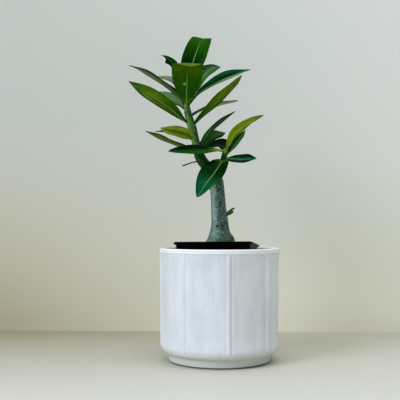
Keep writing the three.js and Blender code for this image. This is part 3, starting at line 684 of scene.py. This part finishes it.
# %% Scatter the chips
SCATTER_HALF = 38.5
CLEAR_OF_STEM = 18.5
draw = random.Random(7)


def chip(name, squash, bevel):
    """One broken chip: a block, cut slantwise and rounded a little, 2 mm across before it is scaled."""
    start_piece()
    bpy.ops.mesh.primitive_cube_add(size=2 * MM)
    piece = named(name)
    edit_all()
    for cut in [(0.9, 0.5, 0.6), (-0.7, 0.8, -0.3), (0.2, -0.9, 0.7)]:
        at = tuple(side * 0.75 * MM for side in cut)
        bpy.ops.mesh.bisect(plane_co=at, plane_no=cut, clear_outer=True, use_fill=True)
        bpy.ops.mesh.select_all(action="SELECT")
    bpy.ops.transform.resize(value=squash, center_override=(0, 0, 0))
    bpy.ops.object.mode_set(mode="OBJECT")
    modify(piece, "BEVEL", width=bevel * MM, segments=1, limit_method="NONE")
    return piece


def scatter(name, model, count, sizes, sink):
    """Copies the chip over the soil, each with its own mesh, and joins the copies to one piece."""
    copies = []
    while len(copies) < count:
        x, y = draw.uniform(-SCATTER_HALF, SCATTER_HALF), draw.uniform(-SCATTER_HALF, SCATTER_HALF)
        size = draw.uniform(*sizes)
        here = grow_pose @ Vector((x * MM, y * MM, (SOIL_TOP + crumbs(x, y) + size * sink) * MM))
        turn = Matrix.Rotation(draw.uniform(0, 6.3), 4, "Z") @ Matrix.Rotation(draw.gauss(0, 0.35), 4, "X")
        if math.hypot(here.x / MM - 1, here.y / MM) < CLEAR_OF_STEM + size:
            continue
        mesh = model.data.copy()
        mesh.transform(Matrix.Translation(here) @ turn @ Matrix.Scale(size, 4))
        copies.append(put_in(model.name, mesh))
    bpy.data.objects.remove(model)
    return join(name, copies)


bark_chips = scatter("bark_chips", chip("bark_chip", (1.3, 0.8, 0.45), 0.14), 420, (0.8, 2.1), 0.2)
pumice = scatter("pumice_grains", chip("pumice_grain", (0.9, 0.8, 0.7), 0.3), 230, (0.6, 1.5), 0.35)
print("chips:", len(bark_chips.data.polygons), "faces, pumice:", len(pumice.data.polygons), "faces")

# %% [markdown]
# ## Soil finishes
# Composted bark is dark, fibrous and matt. Pumice is a pale porous glass foam. Both are dry, so neither shines.
# Every chip gets its own shade from a noise that is as coarse as the chips are.


# %% Mix the soil
def mineral(name, dark, light, grit, roughness):
    material, tree, shader, place = new_material(name)
    lots = add(tree, "TexNoise", Vector=place, Scale=wave_mm(2.8), Detail=1)
    spread = add(tree, "MapRange", Value=lots, From_Min=0.35, From_Max=0.65)
    grains = add(tree, "TexNoise", Vector=place, Scale=wave_mm(grit), Detail=3)
    mixed = add(tree, "Math", operation="MULTIPLY_ADD", _0=grains, _1=0.5, _2=spread)
    share = add(tree, "MapRange", Value=mixed, From_Min=0.2, From_Max=1.3)
    tint = add(tree, "Mix", data_type="RGBA", _0=share, _6=dark, _7=light)
    relief = add(tree, "Bump", Height=grains, Strength=0.8, Distance=0.5 * MM)
    wire(shader, Base_Color=tint, Normal=relief, Roughness=roughness, Specular_IOR_Level=0.2)
    return material


hand_in(soil, mineral("composted_bark_fines", "#241A13", "#5A4634", 0.7, 0.95), "potting_mix", "soil")
hand_in(bark_chips, mineral("pine_bark_chips", "#2E2018", "#7A5A40", 0.5, 0.85), "potting_mix")
hand_in(pumice, mineral("pumice", "#8F887C", "#CFC8BA", 0.35, 0.9), "potting_mix")

# %% [markdown]
# ## Leaf blades
# An adenium leaf is a thick blade, narrow at the stem and widest beyond the middle, folded a little along a pale
# midrib, with a waved edge. Pulling such a blade out of a primitive by hand takes many turns of the same three
# moves, so a flat grid with two faces is bent by a rule instead: along a smooth line for the midrib, out to the
# width at that place, up by the fold and the waves. The same rule keeps count of where each vertex lies on the
# blade, in millimetres, and paints it.

# %% The blade's rule
ROWS, COLUMNS, CROWDING = 56, 22, 1.3
FINE_STEPS = 400
STALK_HALF, TIP_HALF = 1.3, 0.4
FLAP_AT, FLAP_REACH = 0.833, 0.05
EDGE_THICK, BLADE_THICK, STALK_THICK = 0.1, 0.3, 0.5
GROOVE_DEPTH, RIDGE_BASE, RIDGE_LOSS = 0.22, 0.9, 0.75
EDGE_WAVES, WAVE_SHIFT = 2, 1.3
PLAIN_LEAF = dict(
    widest=0.5, base_power=1.1, tip_power=0.8, wave=0.4, flap=0, lines=0.3, veins=0.3, ragged=0.03,
    top=("fern", "fern"), back=("drab", "drab"), base="stalk", base_end=0.2, tip=None, tip_from=0.6, tip_to=1,
)


def half_width(leaf, share):
    widest = leaf["widest"]
    if share < widest:
        blade = math.sin(math.pi / 2 * share / widest) ** leaf["base_power"]
    else:
        blade = max(0, math.sin(math.pi / 2 * (1 - share) / (1 - widest))) ** leaf["tip_power"]
    return max(STALK_HALF + (TIP_HALF - STALK_HALF) * share, leaf["width"] / 2 * blade)


def midrib_frames(leaf):
    """Centre, direction along, direction sideways and direction up for each row of the blade."""
    points = [Vector(point) for point in leaf["spine"]]
    dense = [on_curve(points, step / FINE_STEPS) for step in range(FINE_STEPS + 1)]
    far = [0]
    for before, after in zip(dense, dense[1:]):
        far.append(far[-1] + (after - before).length)
    frames, step = [], 0
    base, tip = Vector(leaf["faces"]), Vector(leaf.get("tip_faces", leaf["faces"]))
    for row in range(ROWS + 1):
        wanted = far[-1] * row / ROWS
        while step < FINE_STEPS - 1 and far[step + 1] < wanted:
            step += 1
        part = (wanted - far[step]) / (far[step + 1] - far[step])
        share = (step + part) / FINE_STEPS
        along = (on_curve(points, min(1, share + 0.001)) - on_curve(points, max(0, share - 0.001))).normalized()
        up = base.lerp(tip, row / ROWS)
        up = (up - along * up.dot(along)).normalized()
        frames.append((on_curve(points, share), along, along.cross(up), up))
    return frames, far[-1]


def shape_blade(leaf):
    """Bends a flat two-sided grid to the leaf, paints it and notes each vertex's place on the blade."""
    start_piece()
    bpy.ops.mesh.primitive_grid_add(x_subdivisions=COLUMNS, y_subdivisions=ROWS, size=2)
    piece = named(leaf["name"] + "_blade")
    edit_all()
    bpy.ops.mesh.extrude_region_move(TRANSFORM_OT_translate={"value": (0, 0, 1)})
    outwards(piece)
    frames, length = midrib_frames(leaf)
    fold = math.radians(leaf["fold"])
    places, tints, unders = [], [], []
    for vertex in piece.data.vertices:
        share = (vertex.co.y + 1) / 2
        edge = math.copysign(abs(vertex.co.x) ** CROWDING, vertex.co.x)
        upper = vertex.co.z > 0.5
        centre, along, side, up = frames[round(share * ROWS)]
        half = half_width(leaf, share)
        flap = 1 + leaf["flap"] * bump(share, FLAP_AT, FLAP_REACH)
        across = edge * flap if edge > 0 else edge
        x = across * half
        turn = 2 * math.pi * EDGE_WAVES * share + math.copysign(WAVE_SHIFT, edge)
        sway = math.sin(turn) * leaf["wave"] * edge * edge
        rise = (math.hypot(x, 0.5) - 0.5) * math.sin(fold) + sway * min(1, half / 6)
        round_off = math.sqrt(max(0, 1 - abs(edge) ** 5))
        stalk = 1 - ease(0.02, 0.2, share)
        thick = EDGE_THICK + BLADE_THICK * round_off + stalk * STALK_THICK * math.sqrt(max(0, 1 - edge * edge))
        groove = GROOVE_DEPTH * bump(x, 0, 0.7) * (1 - stalk)
        ridge = (RIDGE_BASE - RIDGE_LOSS * share) * bump(x, 0, 0.9)
        level = rise + thick - groove if upper else rise - thick - ridge
        sweep = along * (across - edge) * half * 1.2
        vertex.co = (centre + side * x * math.cos(fold) + sweep + up * level) * MM
        fade = ease(leaf["fade"] - 0.2, leaf["fade"], share) if "fade" in leaf else 0.6 * ease(0.5, 1, share)
        places += [x, share * length, leaf["lines"] * (1 - fade)]
        tints += paint(leaf, edge, share, upper, centre)
        unders.append(0 if upper else 1)
    note(piece, "net", [leaf["veins"]] * len(unders))
    note(piece, "place", places, "FLOAT_VECTOR", "vector")
    note(piece, "tint", tints, "FLOAT_COLOR", "color")
    note(piece, "under", unders)
    soften(piece, 75)
    return piece


def blend_colours(first, second, share):
    return [a + (b - a) * share for a, b in zip(first, second)]


def paint(leaf, edge, share, upper, centre):
    """The blade's colour, painted light and shade too: bands across, tip, stalk, blemish and a soft drift."""
    bands = leaf["top"] if upper else leaf["back"]
    wobble = 0.14 * waver(share * 9, centre.x / 9, centre.z / 9)
    wobble += leaf["ragged"] * waver(share * 34, edge, 4)
    place = (len(bands) - 1) * min(0.999, max(0, (edge + wobble + 1) / 2))
    number = int(place)
    colour = blend_colours(GREENS[bands[number]], GREENS[bands[number + 1]], ease(0, 1, place - number))
    if leaf["tip"]:
        colour = blend_colours(colour, GREENS[leaf["tip"]], 0.8 * ease(leaf["tip_from"], leaf["tip_to"], share))
    colour = blend_colours(GREENS[leaf["base"]], colour, ease(0.03, leaf["base_end"], share))
    if "spot" in leaf:
        off = math.hypot((edge - leaf["spot"][0]) * 11, (share - leaf["spot"][1]) * 60)
        colour = blend_colours(colour, GREENS["pale"], 0.9 * ease(-1.5, -0.5, -off))
    drift = 1 + 0.35 * waver(edge * 1.6, share * 5, centre.x / 20)
    drift *= 1 + 0.25 * waver(edge * 7, share * 22, centre.z / 20)
    return [min(1, part * drift) for part in colour[:3]] + [1]


# %% [markdown]
# ## Leaf skin
# A leaf is a wet green sponge between two waxy skins (IOR 1.45). The upper skin is glossy, the lower one matt, and
# the paler midrib and side veins show on both. Side veins leave the midrib every 4.6 mm and sweep to the tip, and
# fade away in places. The colour is the one painted on the blade; the material adds veins, fine cells, gloss and
# relief.

# %% Mix the leaf skin
skin_of_leaf, tree, shader, place = new_material("waxy_leaf_skin")
tint, blade = [add(tree, "Attribute", attribute_name=name).outputs for name in ("tint", "place")]
under, net = [add(tree, "Attribute", attribute_name=name).outputs["Fac"] for name in ("under", "net")]
on_blade = add(tree, "SeparateXYZ", Vector=blade["Vector"]).outputs
off_rib = add(tree, "Math", operation="ABSOLUTE", _0=on_blade["X"])
ruffle = add(tree, "TexNoise", Vector=place, Scale=wave_mm(6), Detail=2)
swept = add(tree, "Math", operation="MULTIPLY_ADD", _0=off_rib, _1=-0.55, _2=on_blade["Y"])
bent = add(tree, "Math", operation="MULTIPLY_ADD", _0=ruffle, _1=6, _2=swept)
turns = add(tree, "Math", operation="MULTIPLY", _0=bent, _1=math.pi / 4.6)
beat = add(tree, "Math", operation="SINE", _0=turns)
vein_line = add(tree, "Math", operation="ABSOLUTE", _0=beat)
vein = add(tree, "MapRange", Value=vein_line, From_Min=0.02, From_Max=0.26, To_Min=1, To_Max=0)
faint = add(tree, "MapRange", Value=off_rib, From_Min=0, From_Max=12, To_Min=0.55, To_Max=0.2)
patch = add(tree, "TexNoise", Vector=place, Scale=wave_mm(11), Detail=1)
patch = add(tree, "MapRange", Value=patch, From_Min=0.4, From_Max=0.62, To_Min=0.25, To_Max=1.3)
for share in (net, patch):
    faint = add(tree, "Math", operation="MULTIPLY", _0=faint, _1=share)
veins = add(tree, "Math", operation="MULTIPLY", _0=vein, _1=faint)
rib = add(tree, "MapRange", Value=off_rib, From_Min=0.35, From_Max=0.85, To_Min=1, To_Max=0)
rib_share = add(tree, "Math", operation="MULTIPLY", _0=rib, _1=on_blade["Z"])
skin = tint["Color"]
for share, colour in [(veins, "#7FA66A"), (rib_share, "#8FB377")]:
    skin = add(tree, "Mix", data_type="RGBA", _0=share, _6=skin, _7=colour)
cells = add(tree, "TexNoise", Vector=place, Scale=wave_mm(1.1), Detail=2)
gloss = add(tree, "MapRange", Value=under, To_Min=0.34, To_Max=0.5)
sunk = add(tree, "Math", operation="MULTIPLY_ADD", _0=veins, _1=-1.2, _2=cells)
relief = add(tree, "Bump", Height=sunk, Strength=0.35, Distance=0.3 * MM)
wire(shader, Base_Color=skin, Roughness=gloss, Normal=relief, IOR=1.45)
wire(shader, Specular_IOR_Level=0.03, Specular_Tint="#9AD69A")

# %% [markdown]
# ## The leaves one by one
# The points of each midrib, the width, the fold and the waves are those of the imported model. With them go the
# colours, as bands across the upper face and the back, from the left edge to the right one, seen from above with
# the tip ahead. Many bands hold painted light and shade as well as the leaf's own green. A leaf can also change
# towards its tip and its base. What a leaf doesn't say is as in PLAIN_LEAF.

# %% Shape and paint the leaves
# Painted light and shade among the greens: the near-black one is painted shade on halves turned from the light. Teal
# is the leaf's green with a painted reflection of the bluish window, and the bright teal-green is a painted sheen.
# Lime and straw are partly the backs' own yellow-green and partly painted light shining through the blade.
GREENS = dict(
    painted_shade_black="#022A04", forest="#08330A", moss="#1D5008", leaf="#1E5B22", fern="#2C6218", grass="#34703A",
    pine="#062C14", teal="#0B5A40", painted_sheen_jade="#136040", haze="#5E7258", ash="#7F866E", drab="#55633D", tan="#748955",
    olive="#587414", grassy="#6B8A18", lime="#86A41E", straw="#98AC3E", bronze="#2E2C12", stalk="#5E7F2E",
    clover="#306208", reed="#6A8C5D", pale="#BEC4A6",
)
GREENS = {name: linear(colour) for name, colour in GREENS.items()}
LEAVES = [
    dict(name="leaf_top_back", slot="leaf_dark", width=31.6, widest=0.55, fold=7, wave=0.6, base_power=1.6,
         spine=[(-38.6, 0, 301.5), (-38.8, 6.5, 318), (-35.8, 12, 337), (-30.2, 18, 357), (-24.1, 24.5, 375.8),
                (-20.6, 32, 384.5), (-18.6, 44, 384.5), (-16.6, 55, 377.5)],
         faces=(0, -0.8, 0.6), tip_faces=(0.1, 0, 1), lines=0.6, top=("forest", "painted_shade_black", "forest", "forest", "moss"),
         tip="clover", tip_from=0.42, tip_to=0.8, fade=0.76, veins=0.15),
    dict(name="leaf_top_front", slot="leaf_dark", width=36.5, widest=0.6, fold=-2, wave=0.3, base_power=0.85,
         tip_power=0.5,
         spine=[(-38.6, 0, 295.5), (-38, -11, 312), (-37, -22, 327), (-35.5, -33, 337), (-34.5, -45, 336.5),
                (-33.5, -57, 330.5)],
         faces=(0, 0.35, 1), lines=0.6, top=("fern", "moss"), back=("clover", "clover"),
         tip="olive", tip_from=0.35, tip_to=0.7, fade=0.6, veins=0.12, spot=(0.18, 0.36)),
    dict(name="leaf_top_curled", slot="leaf_dark", width=12, widest=0.6, fold=24, wave=0.6, base_power=1.6,
         tip_power=1, flap=1.1,
         spine=[(-38.5, 0, 296.5), (-45.5, 3.5, 317), (-50.5, 8, 337), (-55.6, 12, 348.7), (-61, 15.5, 355.6),
                (-65.5, 18, 359.3), (-70, 20, 361.5)],
         faces=(0.5, -0.2, 0.8), tip_faces=(0, 0.9, 0.2), lines=0.2, top=("forest", "fern", "forest"),
         back=("forest", "forest")),
    dict(name="leaf_upper_left_long", slot="leaf_olive", width=18, fold=6, wave=0.7, base_power=0.65,
         tip_power=0.9,
         spine=[(-37.6, 1, 290.5), (-43.5, 4, 302.5), (-52, 6, 313), (-70, 6, 325.8), (-90, 6, 338.9),
                (-107.5, 6, 346.3)],
         faces=(0, 0.2, 1), lines=0.2, back=("painted_shade_black", "drab", "tan", "tan", "haze", "tan"), base="painted_shade_black", base_end=0.5,
         ragged=0.35),
    dict(name="leaf_upper_left_back", slot="leaf_teal", width=15, widest=0.6, fold=8, wave=0.5,
         spine=[(-37.9, 1.2, 294.8), (-42, 17.5, 314.8), (-51, 30, 330.5), (-63, 39, 337), (-79, 45, 340.5)],
         faces=(0, -0.8, 0.9), top=("haze", "ash")),
    dict(name="leaf_left_large", slot="leaf_olive", width=24, widest=0.57, fold=8, wave=0.5, base_power=1.45,
         spine=[(-33.5, 0, 272.5), (-43.5, -5, 280.3), (-56, -10, 290.8), (-70.5, -15, 300.2), (-87.5, -18, 310.6),
                (-104.5, -21, 321.5)],
         faces=(0, 0.5, 1), lines=0.7,
         back=("olive", "grassy", "grassy", "grassy", "moss", "straw", "olive", "moss"), tip="moss", base="moss",
         base_end=0.95),
    dict(name="leaf_left_rear", slot="leaf_teal", width=24, widest=0.52, fold=12, wave=0.6, base_power=1.6,
         spine=[(-36.8, 0, 287), (-45.5, 12, 300), (-62, 25, 311), (-77.5, 35, 319.5)],
         faces=(0.2, -0.8, 0.7), top=("grass", "reed", "reed", "haze")),
    dict(name="leaf_right_teal", slot="leaf_teal", width=21, widest=0.58, fold=20, base_power=2.2, tip_power=1.1,
         spine=[(-38, 1, 296.2), (-23.3, -2, 311.6), (-8, -7.2, 320), (7.3, -12, 326.3), (22.5, -14, 331.9),
                (36, -15, 336)],
         faces=(-0.2, -0.7, 0.7), top=("painted_shade_black", "teal", "pine", "painted_shade_black", "reed", "reed", "haze"), tip="painted_sheen_jade",
         base="forest", base_end=0.8, tip_from=0.75),
    dict(name="leaf_right_rear", slot="leaf_dark", width=23, widest=0.7, fold=10, wave=0.5, base_power=2,
         tip_power=0.42,
         spine=[(-38.2, 0.3, 300.3), (-29, 5, 314.3), (-22.5, 11.5, 330.8), (-14.3, 20.5, 342), (-7, 29, 348.3),
                (-0.8, 35, 351)],
         faces=(-0.3, -0.8, 0.5), lines=0.9, top=("clover", "grass", "reed", "grass", "fern"), tip="pine",
         tip_from=0.78, veins=0.9),
    dict(name="leaf_right_olive", slot="leaf_olive", width=18.5, widest=0.62, fold=12, wave=0.5, base_power=0.9,
         tip_power=0.75,
         spine=[(-33, 0, 270.5), (-24, -5, 279.8), (-11.2, -11, 291), (3.6, -17, 304.2), (16.7, -22, 316.2),
                (25.4, -26, 326.6)],
         faces=(-0.3, 0.35, 1), lines=0.2, back=("olive", "olive", "grassy", "olive"), base="moss", base_end=0.7),
    dict(name="leaf_right_grey", slot="leaf_olive", width=18, fold=8, wave=0.5, base_power=0.7,
         spine=[(-36.3, 1, 284), (-18, 10, 294.3), (1, 20, 301), (22.8, 30, 307.5)],
         faces=(-0.2, 0.2, 1), lines=0.2, back=("pale", "pale", "ash"), base="haze", base_end=0.6),
    dict(name="leaf_left_short", slot="leaf_light", width=21, fold=14, base_power=0.7,
         spine=[(-28.5, 0, 256), (-43.8, -10, 261.8), (-56, -18, 264), (-67.2, -25, 267)],
         faces=(0, 0.6, 1), back=("lime", "straw", "olive", "lime", "straw", "lime")),
    dict(name="leaf_left_low", slot="leaf_olive", width=19, widest=0.55, fold=8, wave=0.6, base_power=0.6,
         spine=[(-25, 0, 241.8), (-40.8, 4, 247), (-58.8, 7, 254.2), (-74.5, 9, 261.5), (-88, 10, 268)],
         faces=(0.1, 0.26, 1), lines=0.15, back=("bronze", "olive", "haze", "olive", "olive")),
    dict(name="leaf_left_low_back", slot="leaf_olive", width=15, widest=0.6, fold=10, wave=0.6,
         spine=[(-29, 1, 261), (-44.5, 15, 266), (-62.5, 30, 269.5), (-79, 42, 272)],
         faces=(0.2, -0.15, 1), lines=0.2, top=("drab", "drab")),
    dict(name="leaf_mid_dark_long", slot="leaf_teal", width=20, widest=0.62, fold=6, base_power=0.95,
         spine=[(5.8, -2, 243), (-5, -10, 243.1), (-18.8, -17, 242.4), (-32.2, -21, 241.8), (-45.2, -25, 241),
                (-58, -29, 239.8)],
         faces=(0, -0.62, 0.78), lines=0.15, top=("leaf", "leaf", "forest", "painted_shade_black", "painted_shade_black"), base="lime",
         base_end=0.35, veins=0.1),
    dict(name="leaf_mid_narrow", slot="leaf_teal", width=15, widest=0.55, fold=26,
         spine=[(-24, 0, 242.5), (-18.4, 3, 255.2), (-10, 5, 266.3), (2.8, 7, 277.8), (18.6, 8, 291.2)],
         faces=(-0.5, -0.35, 0.8), top=("forest", "grass", "painted_shade_black", "forest"), tip="painted_shade_black", tip_from=0.5),
    dict(name="leaf_mid_broad", slot="leaf_dark", width=20, widest=0.62, fold=12, wave=0.7,
         spine=[(-22.5, 0, 238), (-15.6, 9, 253.6), (-5, 17, 263), (7, 24, 267.4)],
         faces=(-0.4, -0.8, 0.5), lines=0.6, top=("leaf", "grass", "fern", "forest"), veins=0.6),
    dict(name="leaf_mid_back", slot="leaf_teal", width=22, fold=8, base_power=0.7,
         spine=[(7, 0, 241.5), (5, 8, 248.6), (-0.5, 18, 252.4), (-7.5, 27, 253.2), (-15, 34, 251.5)],
         faces=(0.2, -0.9, 0.4), lines=0.05, top=("painted_shade_black", "painted_shade_black"), base="painted_shade_black"),
    dict(name="leaf_branch_yellow", slot="leaf_light", width=16, widest=0.42, fold=10,
         spine=[(7.2, -1, 242), (11.3, -3.5, 251.8), (16.6, -6, 261), (24.8, -8.5, 268.4), (36.2, -10.5, 276.5),
                (51, -12, 283.2)],
         faces=(-0.6, 0.6, 0.6), back=("olive", "lime", "straw", "lime", "lime"), tip="drab", tip_from=0.72),
    dict(name="leaf_branch_under", slot="leaf_dark", width=15, widest=0.58, fold=14,
         spine=[(6.2, 0, 236.5), (17.2, 8, 249), (24.2, 14, 259.3), (31.2, 19, 270)],
         faces=(-0.5, -0.5, 0.7), top=("forest", "fern")),
    dict(name="leaf_branch_teal", slot="leaf_teal", width=20, widest=0.56, fold=10, wave=0.3,
         spine=[(5.5, -0.5, 234.3), (17, -7.5, 232.6), (28.8, -15, 231.4), (41.8, -22, 231.9)],
         faces=(0, -0.65, 0.75), lines=0.4, top=("pine", "pine", "painted_sheen_jade", "pine", "pine")),
    dict(name="leaf_drooping", slot="leaf_teal", width=30, fold=22, wave=0.9, base_power=0.5,
         spine=[(3.9, -1, 231.9), (0.7, -12, 225.9), (-6.4, -22, 214.6), (-15.7, -30, 202), (-25.3, -36, 187)],
         faces=(-0.2, -0.87, 0.45), lines=0.7, top=("pine", "painted_shade_black", "painted_shade_black", "forest", "forest", "forest"), tip="painted_sheen_jade",
         tip_from=0.42, tip_to=0.74, veins=0.4),
]
for own in LEAVES:
    leaf = PLAIN_LEAF | own
    hand_in(shape_blade(leaf), skin_of_leaf, leaf["slot"], leaf["name"])

# %% [markdown]
# ## Stub and sprout
# By the fork one stalk has lost its blade and dried at the tip. Low on the stem a new shoot with two prongs breaks
# out. Both are thin tapering rods, so they are curves with a radius, like the stem, then joined and smoothed.

# %% Grow the stub and the sprout
STUB = [
    (-19, 0, 231, 0.9), (-27, -1, 230.4, 0.8), (-34.7, -3, 228.3, 0.7), (-42, -4.9, 225.5, 0.85),
    (-42.6, -5.1, 225.1, 0.5),
]
SPROUT = [
    (3, -1, 166.5, 2), (8.5, -2, 168.9, 2.3), (12.5, -3, 170.3, 2), (15.4, -3.5, 171.5, 1.3),
    (16.2, -3.6, 171.9, 0.5),
]
PRONG = [
    (10, -2, 170.5, 1.5), (12.6, -3, 173, 1.4), (15, -3, 174.6, 1.3), (17, -3, 175.7, 0.8), (17.6, -3, 176, 0.3),
]
stub = limb("dried_stalk", STUB, 6, 20)
sprout = join("green_sprout", [limb("sprout_stem", SPROUT, 6, 20), limb("sprout_prong", PRONG, 6, 20)])
modify(sprout, "REMESH", mode="VOXEL", voxel_size=0.3 * MM, adaptivity=0)
modify(sprout, "SMOOTH", factor=0.5, iterations=3)
for piece in (stub, sprout):
    pick(piece)
    bpy.ops.object.shade_smooth()
print("sprout vertices:", len(sprout.data.vertices))


# %% Mix their skins
def stalk_skin(name, dark, light):
    material, tree, shader, place = new_material(name)
    fleck = add(tree, "TexNoise", Vector=place, Scale=wave_mm(1.8), Detail=3)
    tint = add(tree, "Mix", data_type="RGBA", _0=fleck, _6=dark, _7=light)
    relief = add(tree, "Bump", Height=fleck, Strength=0.4, Distance=0.3 * MM)
    wire(shader, Base_Color=tint, Normal=relief, Roughness=0.5, Specular_IOR_Level=0.3)
    return material


hand_in(stub, stalk_skin("dried_stalk_skin", "#2A3B2C", "#5A6B52"), "bark", "petiole_stub")
hand_in(sprout, stalk_skin("young_shoot_skin", "#1F3C12", "#64803A"), "leaf_light", "sprout")

# %% [markdown]
# ## Finish
# The visual model has to stay inside the imported model's box.

# %% Finish
start_piece()
